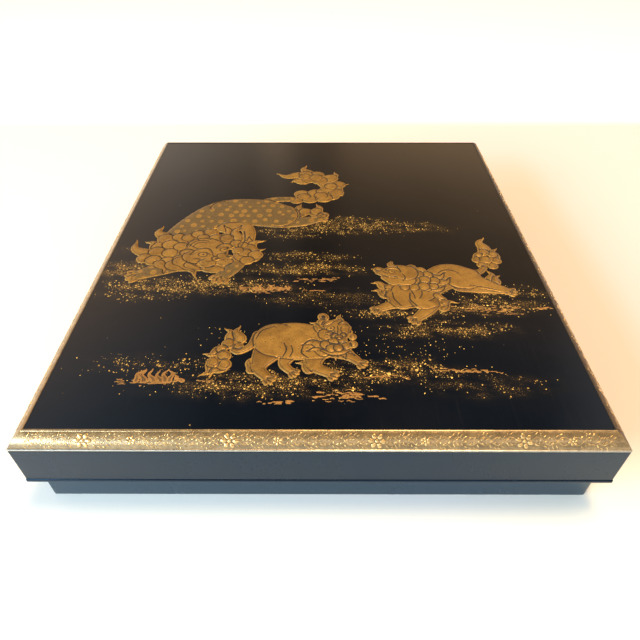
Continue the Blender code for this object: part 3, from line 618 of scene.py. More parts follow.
BANDS = (
    (8, 14, 44, 8.5, 1.00, 0.60), (-16, 10, 24, 9, 0.55, 0.55), (46, 12, 28, 5, 0.40, 0.55),
    (-8, -14, 26, 4.0, 0.75, 0.55), (-8, -25, 32, 5.0, 0.85, 0.80), (-96, -25, 18, 6, 0.45, 1.00),
    (-100, -9, 12, 3, 0.35, 0.30), (-58, -38, 50, 6.5, 1.00, 0.85), (-82, -44, 24, 6, 0.45, 0.35),
    (2, -47, 34, 6, 0.30, 0.45), (84, -43, 26, 5, 0.80, 0.45), (74, -53, 30, 6, 0.75, 0.70),
    (36, -57, 34, 3.6, 0.80, 0.55), (54, -68, 32, 5.0, 0.80, 0.75), (36, -78, 24, 8, 0.22, 0.10),
    (-64, -88, 32, 6, 0.55, 0.25), (-24, -99, 44, 6.5, 0.70, 0.65), (26, -92, 34, 7, 0.85, 0.60),
    (-36, -72, 20, 8, 0.12, 0.05), (64, -99, 30, 6, 0.20, 0.35),
)


def waves(x, y, seed, count=7, scale=0.12):
    """Sum of sines whose directions and lengths come from a seeded list, between -1 and 1."""
    rng = np.random.default_rng(seed)
    total = np.zeros(np.shape(x))
    for _ in range(count):
        kx, ky = rng.normal(0, scale, 2)
        total = total + np.sin(2 * np.pi * (kx * x + ky * y) + rng.uniform(0, 2 * np.pi))
    return total / count


def dust_density(x, y, grains=True):
    """How thick the gold lies: bands with a wavy middle line, soft at both ends, broken up along the box."""
    total = np.zeros(np.shape(x))
    for k, (cx, cy, wide, tall, sharp, mist) in enumerate(BANDS):
        dy = y - cy + 2.2 * waves(x, 0 * y, 30 + k, scale=0.03) + 0.8 * waves(x, 0 * y, 60 + k, scale=0.22)
        q = np.hypot((x - cx) / wide, dy / (tall if grains else 1.15 * tall))
        total = np.maximum(total, (sharp if grains else mist) * np.exp(-(q * 1.12) ** 3.2))
    broken = 0.72 + 1.1 * waves(0.4 * x, 3.2 * y, 3, scale=0.09) + 0.5 * waves(x, y, 4, scale=0.2)
    return total * np.clip(broken, 0.08, 1.25)


# Ragged patches of thicker gold: middle, half length, half height, count of brush marks
PATCHES = ((-3, -33.5, 13, 1.6, 26), (-26, -40.8, 15, 2.6, 46), (-4, -41.5, 8, 0.8, 8),
           (76, -55, 18, 3.2, 58), (99, -54, 5, 1.4, 12), (58, -91.4, 14, 1.5, 30),
           (-66, -97.0, 14, 2.2, 44), (-42, -96.8, 8, 0.8, 9), (-15, -107.2, 8, 0.9, 14),
           (9, -104, 15, 3.0, 52), (26, -94.6, 12, 1.2, 14))
# Tufts of flame-like blades on them: foot, spread, count, length
TUFTS = ((-62, -96, 10, 9, 9.0), (-24, -40, 11, 9, 5.0))


def ground_forms():
    """Short brush marks laid along each patch, thinning out to its ends, with tufts of blades."""
    rng = np.random.default_rng(15)
    f = []
    for cx, cy, wide, tall, count in PATCHES:
        for _ in range(count):
            x = cx + wide * np.clip(rng.normal(0, 0.42), -1, 1)
            y = cy + tall * np.clip(rng.normal(0, 0.5), -1, 1)
            reach = rng.uniform(0.4, 1.9)
            bend = rng.normal(0, 0.18)
            f += stroke("patch", (x - reach, y - bend, 0.08), (x, y + bend, rng.uniform(0.14, 0.34)),
                        (x + reach, y - bend, 0.06))
    for cx, cy, spread, count, length in TUFTS:
        for k in range(count):
            x = cx + spread * (2 * (k + rng.uniform(0.1, 0.9)) / count - 1)
            size = length * rng.uniform(0.35, 1.0)
            f += flame(x, cy - 0.8, 90 + rng.normal(0, 24), size, 0.2 + 0.11 * size, rng.choice((-50, 50)))
    return f


def scattered(count, seed, floor=0.0):
    """Places on the panel, kept by chance where the dust lies, with a thin sprinkle everywhere else."""
    rng = np.random.default_rng(seed)
    x = rng.uniform(-103, 103, count * 8)
    y = rng.uniform(-118, 118, count * 8)
    chance = np.clip(dust_density(x, y) ** 1.2, floor, 1)
    kept = rng.random(len(x)) < chance
    return x[kept][:count], y[kept][:count], rng


def flake_piece(name, count, seed, size, floor, material):
    """Flakes as flat double pyramids of five sides: a low tip above the lacquer, a point below."""
    x, y, rng = scattered(count, seed, floor)
    count = len(x)
    radius = size * rng.lognormal(0, 0.35, count)
    turn = rng.uniform(0, 2 * np.pi, count)
    spoke = turn[:, None] + np.arange(5) * 2 * np.pi / 5 + rng.uniform(-0.35, 0.35, (count, 5))
    reach = radius[:, None] * rng.uniform(0.6, 1.15, (count, 5))
    tilt = rng.normal(0, 0.06, (count, 2))
    rim = np.stack([x[:, None] + reach * np.cos(spoke), y[:, None] + reach * np.sin(spoke), 0 * spoke], -1)
    rim[..., 2] = 0.02 + tilt[:, :1] * np.cos(spoke) + tilt[:, 1:] * np.sin(spoke)
    tip = np.column_stack([x, y, np.full(count, FLAKE_TIP)])
    low = np.column_stack([x, y, np.full(count, -FLAKE_FOOT)])
    points = np.concatenate([rim, tip[:, None], low[:, None]], 1)
    points[..., 2] += PANEL
    k = np.arange(5)
    top = np.stack([k, (k + 1) % 5, np.full(5, 5)], -1)
    under = np.stack([(k + 1) % 5, k, np.full(5, 6)], -1)
    faces = (np.vstack([top, under])[None] + np.arange(count)[:, None, None] * 7).reshape(-1, 3)
    tone = np.repeat(rng.random(count), 7)
    return make_piece(name, points.reshape(-1, 3), faces.tolist(), [material], {"tone": tone}, smooth=False)


# Moulding and the gold scroll on it

LIP = LID_BOTTOM + SIDE_HEIGHT
BAND_FOOT = np.array((LIP_INSET + 0.5, LIP + 0.95))
BAND_RUN = np.array((MOULDING_WIDTH - FILLET - 0.12, TOP - 0.3)) - BAND_FOOT
BAND_OUT = np.array((-BAND_RUN[1], BAND_RUN[0])) / np.hypot(*BAND_RUN)
SCROLL_LENGTH, SPOT_SIDES, BAND_ROWS = 9.3, 10, 16


def band_place(t):
    """Inset and height on the sloping band, t from 0 at its foot to 1 at its head."""
    t = np.asarray(t, float)[..., None]
    return BAND_FOOT + t * BAND_RUN + MOULDING_SWELL * 4 * t * (1 - t) * BAND_OUT


def moulding_profile():
    """Inset and height of the moulding: lower lip, sloping band with a slight swell, step and fillet."""
    section = [(LIP_INSET + 0.1, LIP), (LIP_INSET, LIP + 0.12), (LIP_INSET, LIP + 0.70),
               (LIP_INSET + 0.08, LIP + 0.82), (LIP_INSET + 0.3, LIP + 0.86)]
    section += [tuple(p) for p in band_place(np.linspace(0, 1, BAND_ROWS))]
    section += [(MOULDING_WIDTH - FILLET - 0.06, TOP - 0.40), (MOULDING_WIDTH - FILLET + 0.08, TOP - 0.16)]
    section += [(MOULDING_WIDTH - FILLET + 0.34, TOP), (MOULDING_WIDTH - 0.15, TOP)]
    section += [(MOULDING_WIDTH, TOP - 0.12), (MOULDING_WIDTH, TOP - 0.6), (1.9, LIP + 0.5), (0.9, LIP)]
    return section


def on_moulding(side, s, a, h):
    """Point on one side's moulding: s along it, a across its band from the middle, h off its surface."""
    place = band_place(0.5 + a / np.hypot(*BAND_RUN)) + BAND_OUT * np.asarray(h)[..., None]
    inset, height = np.moveaxis(place, -1, 0)
    half = np.where(side % 2, LID_WIDTH, LID_DEPTH) / 2
    out = half - inset
    x = np.choose(side, [s, out, -s, -out])
    y = np.choose(side, [-out, s, out, -s])
    return np.stack([x, y, height + 0 * x], -1)


def moulding_reach(side):
    """Half the length of one side."""
    return (LID_DEPTH if side % 2 else LID_WIDTH) / 2


def raised_spots(side, s, a, wide, tall, turn, point, lift):
    """Domed ovals on the moulding, pointed where asked: three rings of points, a tip above and one inside."""
    spoke = np.arange(SPOT_SIDES) * 2 * np.pi / SPOT_SIDES
    rings = ((0.45, 0.88), (0.74, 0.55), (1.0, 0.05))
    parts = [on_moulding(side, s, a, lift)[:, None]]
    for q, rise in rings:
        reach = q * (1 - point[:, None] * 0.45 * np.abs(np.sin(spoke)) ** 0.8)
        u = reach * wide[:, None] * np.cos(spoke)
        v = reach * tall[:, None] * np.sin(spoke)
        du = u * np.cos(turn[:, None]) - v * np.sin(turn[:, None])
        dv = u * np.sin(turn[:, None]) + v * np.cos(turn[:, None])
        sides = np.broadcast_to(side[:, None], du.shape)
        parts.append(on_moulding(sides, s[:, None] + du, a[:, None] + dv, lift[:, None] * rise))
    parts.append(on_moulding(side, s, a, -0.1 + 0 * lift)[:, None])
    points = np.concatenate(parts, 1)
    k = np.arange(SPOT_SIDES)
    n = (k + 1) % SPOT_SIDES
    faces = [[0, 1 + i, 1 + j] for i, j in zip(k, n)]
    last = 1 + SPOT_SIDES * (len(rings) - 1)
    for low in range(1, last, SPOT_SIDES):
        high = low + SPOT_SIDES
        faces += [[low + i, high + i, high + j, low + j] for i, j in zip(k, n)]
    faces += [[last + i, last + SPOT_SIDES, last + j] for i, j in zip(k, n)]
    return points, faces


def moulding_flowers(material):
    """Large and small blossoms of six petals at even steps, and between them three waving rows of leaves."""
    rows = []
    rng = np.random.default_rng(8)
    spacing, offset = 52, 17
    for side in range(4):
        reach = moulding_reach(side) - 7
        count = int(round(2 * reach / spacing))
        places = (np.arange(count) + 0.5) / count * 2 * reach - reach - 5.5
        places = np.concatenate([places, places + offset])
        for k, s in enumerate(places):
            size = 1.2 if k < count else 0.7
            tip = rng.uniform(0, 2 * np.pi)
            for p in range(6):
                a = tip + p * np.pi / 3
                rows.append((side, s + 1.75 * size * np.cos(a), 1.55 * size * np.sin(a),
                             0.98 * size, 0.72 * size, a, 0.0, 0.20))
            rows.append((side, s, 0.0, 0.62 * size, 0.58 * size, 0.0, 0.0, 0.26))
        for s in np.arange(-reach, reach, 1.45):
            if np.min(np.abs(places - s)) < 3.1:
                continue
            wave = 0.8 * np.sin(2 * np.pi * s / SCROLL_LENGTH)
            for row, way in ((-1.75, -1), (0.0, 1), (1.75, 1)):
                a = wave + row + rng.uniform(-0.2, 0.2)
                rows.append((side, s + rng.uniform(-0.3, 0.3), a, rng.uniform(0.68, 1.0),
                             rng.uniform(0.38, 0.52), way * rng.uniform(0.3, 1.2), 1.0,
                             rng.uniform(0.12, 0.2)))
    table = np.array(rows)
    side = table[:, 0].astype(int)
    points, faces = raised_spots(side, *table[:, 1:].T)
    count = points.shape[1]
    flat = []
    for k in range(len(table)):
        flat += [[k * count + i for i in face] for face in faces]
    tone = np.repeat(np.where(table[:, 7] > 0.199, 0.85, rng.uniform(0.3, 1.0, len(table))), count)
    ink = np.tile(np.where(np.arange(count) > 2 * SPOT_SIDES, 1.0, 0.0), len(table))
    return make_piece("moulding_flowers", points.reshape(-1, 3), flat, [material], {"tone": tone, "ink": ink})


def moulding_scroll(material):
    """Two thin stems along each side, a sine and its mirror, as low ridges of a four-sided section."""
    points, faces = [], []
    for side in range(4):
        reach = moulding_reach(side) - 6
        s = np.arange(-reach, reach, 0.35)
        for sign in (-1, 1):
            a = sign * 1.45 * np.sin(2 * np.pi * s / SCROLL_LENGTH + 0.6 * side)
            slope = np.gradient(a, s)
            size = np.hypot(1, slope)
            first = len(points) and sum(len(p) for p in points)
            where = np.full(s.shape, side)
            cross = []
            for share, rise in ((-1, -0.05), (0, 0.10), (1, -0.05), (0, -0.14)):
                cross.append(on_moulding(where, s - share * 0.22 * slope / size, a + share * 0.22 / size,
                                         rise))
            points.append(np.stack(cross, 1).reshape(-1, 3))
            i = np.arange(len(s) - 1)[:, None] * 4 + first
            k = np.arange(4)[None]
            ahead = (k + 1) % 4
            faces += np.stack([i + k, i + 4 + k, i + 4 + ahead, i + ahead], -1).reshape(-1, 4).tolist()
            last = first + (len(s) - 1) * 4
            faces += [[first, first + 1, first + 2, first + 3], [last + 3, last + 2, last + 1, last]]
    points = np.vstack(points)
    numbers = {"tone": np.full(len(points), 0.5), "ink": np.full(len(points), 0.3)}
    return make_piece("moulding_scroll", points, faces, [material], numbers)


# Materials

def socket(group, name, kind, way="INPUT", value=None):
    """A named input or output of a node group."""
    made = group.interface.new_socket(name=name, in_out=way, socket_type=kind)
    if value is not None:
        made.default_value = value


def add(tree, kind, **settings):
    """A node with its settings, and the values of its unlinked inputs under the word inputs."""
    made = tree.nodes.new(kind)
    for key, value in settings.items():
        if key == "inputs":
            for name, number in value.items():
                made.inputs[name].default_value = number
        else:
            setattr(made, key, value)
    return made


def ramp(tree, source, low, high, a=0.0, b=1.0):
    """The source from low to high mapped to a to b, held at both ends."""
    made = add(tree, "ShaderNodeMapRange",
               inputs={"From Min": low, "From Max": high, "To Min": a, "To Max": b})
    tree.links.new(source, made.inputs["Value"])
    return made.outputs["Result"]


def maths(tree, operation, a, b):
    """Sum, product or other joining of two values, either of which may be a plain number."""
    made = add(tree, "ShaderNodeMath", operation=operation)
    for k, value in enumerate((a, b)):
        if isinstance(value, (int, float)):
            made.inputs[k].default_value = value
        else:
            tree.links.new(value, made.inputs[k])
    return made.outputs[0]


def mix(tree, share, a, b, kind="MIX"):
    """Two colours mixed by a share, or joined by another of the mixing kinds."""
    made = add(tree, "ShaderNodeMix", data_type="RGBA", blend_type=kind)
    ports = [made.inputs["Factor"]] + [port for port in made.inputs if port.type == "RGBA"]
    for port, value in zip(ports, (share, a, b)):
        if isinstance(value, float):
            port.default_value = value
        elif isinstance(value, tuple):
            port.default_value = (*value, 1)
        else:
            tree.links.new(value, port)
    return [port for port in made.outputs if port.type == "RGBA"][0]


def number(tree, name):
    """A number kept at each point of the mesh."""
    return add(tree, "ShaderNodeAttribute", attribute_name=name).outputs["Fac"]


def noise(tree, where, scale, detail, rough):
    """Cloudy noise between 0 and 1."""
    made = add(tree, "ShaderNodeTexNoise", inputs={"Scale": scale, "Detail": detail, "Roughness": rough})
    tree.links.new(where, made.inputs["Vector"])
    return made.outputs["Fac"]


def powder_group():
    """Gold powder: small cells, each with its own brightness, and soft patches where it is worn."""
    group = bpy.data.node_groups.new("gold_powder", "ShaderNodeTree")
    socket(group, "Vector", "NodeSocketVector")
    socket(group, "Scale", "NodeSocketFloat", value=4000.0)
    socket(group, "Grain", "NodeSocketFloat", "OUTPUT")
    socket(group, "Patches", "NodeSocketFloat", "OUTPUT")
    entry = add(group, "NodeGroupInput")
    leave = add(group, "NodeGroupOutput")
    cells = add(group, "ShaderNodeTexVoronoi")
    group.links.new(entry.outputs["Vector"], cells.inputs["Vector"])
    group.links.new(entry.outputs["Scale"], cells.inputs["Scale"])
    split = add(group, "ShaderNodeSeparateColor")
    group.links.new(cells.outputs["Color"], split.inputs["Color"])
    soft = add(group, "ShaderNodeTexNoise", inputs={"Detail": 4.0, "Roughness": 0.6})
    group.links.new(entry.outputs["Vector"], soft.inputs["Vector"])
    group.links.new(maths(group, "MULTIPLY", entry.outputs["Scale"], 0.06), soft.inputs["Scale"])
    group.links.new(split.outputs["Red"], leave.inputs["Grain"])
    group.links.new(ramp(group, soft.outputs["Fac"], 0.35, 0.65), leave.inputs["Patches"])
    return group


def handling_group():
    """Traces of use on polished lacquer: soft hazy patches, fine hairlines, dust and a faint swell."""
    group = bpy.data.node_groups.new("handling_traces", "ShaderNodeTree")
    socket(group, "Vector", "NodeSocketVector")
    for name in ("Haze", "Hairlines", "Specks", "Swell"):
        socket(group, name, "NodeSocketFloat", "OUTPUT")
    entry = add(group, "NodeGroupInput")
    leave = add(group, "NodeGroupOutput")
    where = entry.outputs["Vector"]
    group.links.new(ramp(group, noise(group, where, 22, 5, 0.6), 0.38, 0.72), leave.inputs["Haze"])
    stretch = add(group, "ShaderNodeMapping", inputs={"Scale": (1.0, 0.04, 1.0), "Rotation": (0, 0, 0.12)})
    group.links.new(where, stretch.inputs["Vector"])
    lines = noise(group, stretch.outputs["Vector"], 900, 2, 0.5)
    group.links.new(ramp(group, lines, 0.60, 0.74), leave.inputs["Hairlines"])
    cells = add(group, "ShaderNodeTexVoronoi", inputs={"Scale": 260.0})
    group.links.new(where, cells.inputs["Vector"])
    near = ramp(group, cells.outputs["Distance"], 0.055, 0.02)
    split = add(group, "ShaderNodeSeparateColor")
    group.links.new(cells.outputs["Color"], split.inputs["Color"])
    rare = ramp(group, split.outputs["Green"], 0.90, 0.93)
    group.links.new(maths(group, "MULTIPLY", near, rare), leave.inputs["Specks"])
    group.links.new(noise(group, where, 9, 1, 0.4), leave.inputs["Swell"])
    return group


def start_material(name):
    """A new material with its shader and the place on the piece that its patterns read."""
    material = bpy.data.materials.new(name)
    material.use_nodes = True
    tree = material.node_tree
    shader = tree.nodes["Principled BSDF"]
    where = add(tree, "ShaderNodeTexCoord").outputs["Object"]
    return material, tree, shader, where


def place_group(tree, group, where, **values):
    """A node group placed in a material with its own values."""
    made = add(tree, "ShaderNodeGroup", node_tree=group)
    tree.links.new(where, made.inputs["Vector"])
    for name, value in values.items():
        made.inputs[name].default_value = value
    return made


def bump(tree, height, strength, distance):
    """A normal from a height that changes over the surface."""
    made = add(tree, "ShaderNodeBump", inputs={"Strength": strength, "Distance": distance})
    tree.links.new(height, made.inputs["Height"])
    return made.outputs["Normal"]


def black_lacquer(name, deep, worn, gloss, traces, powder=None, sheen=(1.0, 1.0, 1.0), index=1.53):
    """Black lacquer: near black with a faint blue in its colour, hazy from handling, gold mist by its haze;
    sheen tints its reflections, and on the sides and tray the blue colour and blue sheen are painted reflection
    of the pale table.
    """
    material, tree, shader, where = start_material(name)
    marks = place_group(tree, traces, where)
    colour = mix(tree, marks.outputs["Haze"], deep, worn)
    colour = mix(tree, maths(tree, "MULTIPLY", marks.outputs["Specks"], 0.5), colour, (0.30, 0.29, 0.27))
    rough = ramp(tree, marks.outputs["Haze"], 0, 1, gloss, gloss * 1.7)
    rough = maths(tree, "ADD", rough, maths(tree, "MULTIPLY", marks.outputs["Hairlines"], 0.05))
    if powder is not None:
        haze = number(tree, "haze")
        fine = place_group(tree, powder, where, Scale=5200.0)
        gold = maths(tree, "ADD", fine.outputs["Grain"], maths(tree, "MULTIPLY", haze, 0.30))
        gold = ramp(tree, gold, 1.0, 1.1)
        gold = maths(tree, "MULTIPLY", gold, ramp(tree, haze, 0.02, 0.3))
        colour = mix(tree, maths(tree, "MULTIPLY", haze, 0.60), colour, (0.046, 0.030, 0.010))
        colour = mix(tree, gold, colour, (0.40, 0.23, 0.060))
        tree.links.new(maths(tree, "MULTIPLY", gold, 0.7), shader.inputs["Metallic"])
        rough = maths(tree, "ADD", rough, maths(tree, "MULTIPLY", gold, 0.25))
    tree.links.new(colour, shader.inputs["Base Color"])
    tree.links.new(rough, shader.inputs["Roughness"])
    shader.inputs["IOR"].default_value = index
    # sheen tints the reflections; its blue on the sides and tray is painted reflection
    shader.inputs["Specular Tint"].default_value = (*sheen, 1)
    swell = maths(tree, "ADD", marks.outputs["Swell"],
                  maths(tree, "MULTIPLY", marks.outputs["Hairlines"], 0.002))
    tree.links.new(bump(tree, swell, 0.35, 0.0006), shader.inputs["Normal"])
    return material


def gold_lacquer(name, powder, bright, dull, dark, rough, metal, scale=4200.0, figure=False, varnish=0.0):
    """Gold powder in lacquer: grain and worn patches, where figure is set also lines by ink, ground by coat."""
    material, tree, shader, where = start_material(name)
    fine = place_group(tree, powder, where, Scale=scale)
    share = maths(tree, "MULTIPLY", fine.outputs["Grain"], 0.55)
    # the tone number lightens the gold; on the figures it also holds painted shade towards each form's edge
    share = maths(tree, "ADD", share, maths(tree, "MULTIPLY", number(tree, "tone"), 0.75))
    share = maths(tree, "SUBTRACT", share, maths(tree, "MULTIPLY", fine.outputs["Patches"], 0.42))
    colour = mix(tree, ramp(tree, share, 0.0, 1.0), dull, bright)
    if figure:
        coat, ink = number(tree, "coat"), number(tree, "ink")
        cover = maths(tree, "MULTIPLY", coat, ramp(tree, fine.outputs["Grain"], 0.15, 0.9, 1.0, 0.55))
        colour = mix(tree, cover, colour, (0.066, 0.045, 0.015))
        colour = mix(tree, ramp(tree, ink, 0.25, 0.85), colour, dark)
        metallic = ramp(tree, maths(tree, "MAXIMUM", ink, coat), 0.1, 0.9, metal, 0.1)
        tree.links.new(metallic, shader.inputs["Metallic"])
    else:
        shader.inputs["Metallic"].default_value = metal
    tree.links.new(colour, shader.inputs["Base Color"])
    rough = ramp(tree, fine.outputs["Grain"], 0, 1, rough + 0.12, rough - 0.08)
    tree.links.new(rough, shader.inputs["Roughness"])
    tree.links.new(bump(tree, fine.outputs["Grain"], 0.25, 0.00006), shader.inputs["Normal"])
    shader.inputs["Coat Weight"].default_value = varnish
    shader.inputs["Coat Roughness"].default_value = 0.22
    shader.inputs["Coat IOR"].default_value = 1.6
    return material


powder = powder_group()
traces = handling_group()
panel_lacquer = black_lacquer("panel_lacquer", (0.0005, 0.0013, 0.0034), (0.0014, 0.0019, 0.0040), 0.10,
                              traces, powder)
# painted reflection: the sides' blue colour and blue sheen stand in for the cool table they reflect
side_lacquer = black_lacquer("side_lacquer", (0.0016, 0.0040, 0.0110), (0.0026, 0.0056, 0.0150), 0.20, traces,
                             sheen=(0.24, 0.60, 1.0), index=1.41)
# painted reflection: the tray is a lighter, bluer copy of the side lacquer, standing in for the bright table it
# reflects
tray_lacquer = black_lacquer("tray_lacquer", (0.0080, 0.0160, 0.0280), (0.0100, 0.0190, 0.0320), 0.20, traces,
                             sheen=(0.40, 0.74, 1.0), index=1.70)
figure_gold = gold_lacquer("figure_gold", powder, (0.42, 0.226, 0.040), (0.172, 0.083, 0.014),
                           (0.016, 0.009, 0.0035), 0.42, 0.45, figure=True)
moulding_gold = gold_lacquer("moulding_gold", powder, (0.60, 0.40, 0.175), (0.18, 0.116, 0.052),
                             (0.03, 0.02, 0.01), 0.32, 0.8, 5200.0, figure=True, varnish=0.7)
# painted shade: a darker copy of the moulding gold, used on the back and right sides
shaded_moulding_gold = gold_lacquer("shaded_moulding_gold", powder, (0.15, 0.10, 0.054), (0.065, 0.042, 0.025),
                         (0.012, 0.009, 0.006), 0.40, 0.8, 5200.0, figure=True)
lip_gold = gold_lacquer("lip_gold", powder, (0.48, 0.47, 0.44), (0.34, 0.32, 0.29), (0.03, 0.02, 0.01),
                        0.28, 0.85, 5200.0)
flower_gold = gold_lacquer("flower_gold", powder, (0.88, 0.59, 0.24), (0.32, 0.195, 0.072),
                           (0.04, 0.026, 0.010), 0.26, 0.85, 6000.0, figure=True, varnish=0.5)
flake_gold = gold_lacquer("flake_gold", powder, (0.92, 0.60, 0.16), (0.22, 0.12, 0.026), (0.03, 0.02, 0.01),
                          0.40, 0.45, 2600.0)
ground_gold = gold_lacquer("ground_gold", powder, (0.46, 0.225, 0.055), (0.17, 0.078, 0.018),
                           (0.03, 0.02, 0.01), 0.45, 0.35, 3000.0, figure=True)


# The pieces

def make_lid():
    """Hollow shell under the panel and the moulding: its wall has a bead at the lower edge."""
    low = LID_BOTTOM + SIDE_HEIGHT
    section = [(LID_WALL, CEILING, 0), (LID_WALL, LID_BOTTOM, 1), (0.0, LID_BOTTOM, 1)]
    section += [(0.0, LID_BOTTOM + BEAD_HEIGHT - 0.25, 1), (BEAD_STEP, LID_BOTTOM + BEAD_HEIGHT, 0)]
    section += [(BEAD_STEP, low - 0.26, 0), (BEAD_STEP + 0.35, low - 0.20, 0),
                (BEAD_STEP + 0.35, low + 0.2, 0)]
    section += [(1.5, low + 0.3, 0), (2.4, low + 2.2, 0), (6.2, PANEL - 0.8, 0)]
    points, faces = sweep(rounded(section, 0.3), LID_CORNER)
    return make_piece("lid_shell", points, faces, [side_lacquer], sharp=35)


def make_panel():
    """A grid over the panel whose border goes down into the lid, with a number for the dust at each point."""
    half_x, half_y = LID_WIDTH / 2 - MOULDING_WIDTH + 0.2, LID_DEPTH / 2 - MOULDING_WIDTH + 0.2
    xs, ys = np.linspace(-half_x, half_x, 231), np.linspace(-half_y, half_y, 263)
    x, y = np.meshgrid(xs, ys)
    wide, tall = len(xs), len(ys)
    points = np.column_stack([x.ravel(), y.ravel(), np.full(x.size, PANEL)])
    i = (np.arange(tall - 1)[:, None] * wide + np.arange(wide - 1)[None]).ravel()
    faces = np.stack([i, i + 1, i + 1 + wide, i + wide], -1).tolist()
    border = list(range(wide)) + [r * wide + wide - 1 for r in range(1, tall)]
    border += [(tall - 1) * wide + c for c in range(wide - 2, -1, -1)]
    border += [r * wide for r in range(tall - 2, 0, -1)]
    low = points[border] - (0, 0, PANEL_SKIRT)
    first = len(points)
    count = len(border)
    for k in range(count):
        n = (k + 1) % count
        faces.append([border[n], border[k], first + k, first + n])
        faces.append([first + n, first + k, first + count])
    points = np.vstack([points, low, [[0, 0, PANEL - PANEL_SKIRT]]])
    haze = np.concatenate([dust_density(x, y, grains=False).ravel(), np.zeros(count + 1)])
    return make_piece("lid_panel", points, faces, [panel_lacquer], {"haze": haze}, sharp=30)


def make_moulding():
    """The moulding's section carried round: rows darker by ink, the step rows darker still on the back half as
    painted shade; bright gold in front and on the left, and a darker copy of the gold on the back and right as
    painted shade.
    """
    profile = moulding_profile()
    points, faces = sweep(profile, LID_CORNER, closed=True)
    steps = len(points) // len(profile)
    lip, foot, band, step, fillet = slice(0, 4), slice(5, 10), slice(10, 18), slice(21, 26), slice(24, 26)
    back, front = slice(0, steps // 2), slice(steps // 2, steps)
    left_and_front = slice(13, 31)
    ink = np.zeros((len(profile), steps))
    # painted shade: the step rows darker on the back half of the moulding
    ink[step, back] = 0.85
    ink[fillet, front] = 0.5
    ink[foot] = 0.42
    ink[band] = 0.40
    # painted shade: the back and right sides take the darker copy of the gold
    slots = np.full(ink.shape, 2)
    slots[:, left_and_front] = 0
    slots[lip] = 1
    numbers = {"tone": np.full(ink.size, 0.45), "ink": ink.ravel()}
    materials = [moulding_gold, lip_gold, shaded_moulding_gold]
    return make_piece("lid_moulding", points, faces, materials, numbers, slots.ravel(), sharp=32)


def make_base():
    """Open tray: floor and four walls, set in from the lid's outer face."""
    out, inner = BASE_INSET, BASE_INSET + BASE_WALL
    section = [(out + 3, 0.0, 0), (out, 0.0, 1), (out, RIM, 1), (inner, RIM, 1)]
    section += [(inner, BASE_FLOOR, 1), (inner + 3, BASE_FLOOR, 0)]
    points, faces = sweep(rounded(section, 0.6), BASE_CORNER + BASE_INSET)
    return make_piece("base_tray", points, faces, [tray_lacquer], sharp=35)


pieces = [make_lid(), make_panel(), make_moulding(), moulding_flowers(flower_gold),
          moulding_scroll(flower_gold)]
for title, make, marks, pitch in (("lion_crouching", crouching_lion, crouching_marks, 0.27),
                                  ("lion_leaping", leaping_lion, leaping_marks, 0.2),
                                  ("lion_walking", walking_lion, walking_marks, 0.2)):
    grid_x, grid_y, whole, height, numbers = relief_fields(make(), marks(), pitch)
    pieces.append(relief_piece(title, grid_x, grid_y, whole, height, numbers, figure_gold))
grid_x, grid_y, whole, _, numbers = relief_fields(ground_forms(), [], 0.22)
height = GROUND_LIFT * np.clip(whole / 0.3, 0.3, 1)
pieces.append(relief_piece("gold_ground", grid_x, grid_y, whole, height, numbers, ground_gold))
pieces.append(flake_piece("gold_flakes", 8500, 21, 0.27, 0.0, flake_gold))
pieces.append(flake_piece("gold_sprinkle", 900, 22, 0.22, 0.004, flake_gold))
for piece in pieces:
    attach(piece, "root")
    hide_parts("lid")
base = make_base()
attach(base, "root")
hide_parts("base")


# Floor, light and camera

def make_floor():
    """Pale table with painted light in its colour: cool in front and ivory behind, pinker to the right behind,
    as if lit by the cool window and the warm lamp; a peach painted shadow of the box close beside it; white far
    back.
    """
    data = bpy.data.meshes.new("floor")
    data.from_pydata([(-3, -2, 0), (3, -2, 0), (3, 4, 0), (-3, 4, 0)], [], [(0, 1, 2, 3)])
    material, tree, shader, where = start_material("pale_table")
    split = add(tree, "ShaderNodeSeparateXYZ")
    tree.links.new(where, split.inputs["Vector"])
    x, y = split.outputs["X"], split.outputs["Y"]
    # painted light: ivory behind, warmer and pinker to the right as if lit by the warm lamp
    back = mix(tree, ramp(tree, x, -0.15, 0.12), (0.86, 0.80, 0.72), (0.86, 0.66, 0.64))
    # painted shadow: a peach strip on the table beside the box's right side, where the box would block the cool
    # window light
    painted_box_shadow = maths(tree, "MULTIPLY", ramp(tree, x, 0.180, 0.158), ramp(tree, x, 0.05, 0.10))
    painted_box_shadow = maths(tree, "MULTIPLY", painted_box_shadow, ramp(tree, y, 0.20, 0.13))
    back = mix(tree, painted_box_shadow, back, (0.70, 0.59, 0.46))
    # painted cool light: the table in front of the box made bluer
    front = mix(tree, ramp(tree, x, 0.0, 0.2), (0.88, 0.98, 1.00), (0.92, 0.98, 0.97))
    colour = mix(tree, ramp(tree, y, -0.15, -0.09), front, back)
    colour = mix(tree, ramp(tree, y, 0.250, 0.266), colour, (0.95, 0.97, 1.0))
    tree.links.new(colour, shader.inputs["Base Color"])
    shader.inputs["Roughness"].default_value = 0.7
    shader.inputs["Emission Color"].default_value = (0.62, 0.84, 1.0, 1)
    shader.inputs["Emission Strength"].default_value = 0.12
    data.materials.append(material)
    floor = bpy.data.objects.new("floor", data)
    bpy.context.scene.collection.objects.link(floor)


def make_light(name, place, aim, size, power, colour):
    """A rectangle of light at a place, turned to an aim."""
    data = bpy.data.lights.new(name, "AREA")
    data.shape = "RECTANGLE"
    data.size, data.size_y = size
    data.energy = power
    data.color = colour
    lamp = bpy.data.objects.new(name, data)
    lamp.location = place
    lamp.rotation_euler = (Vector(aim) - Vector(place)).to_track_quat("-Z", "Y").to_euler()
    bpy.context.scene.collection.objects.link(lamp)


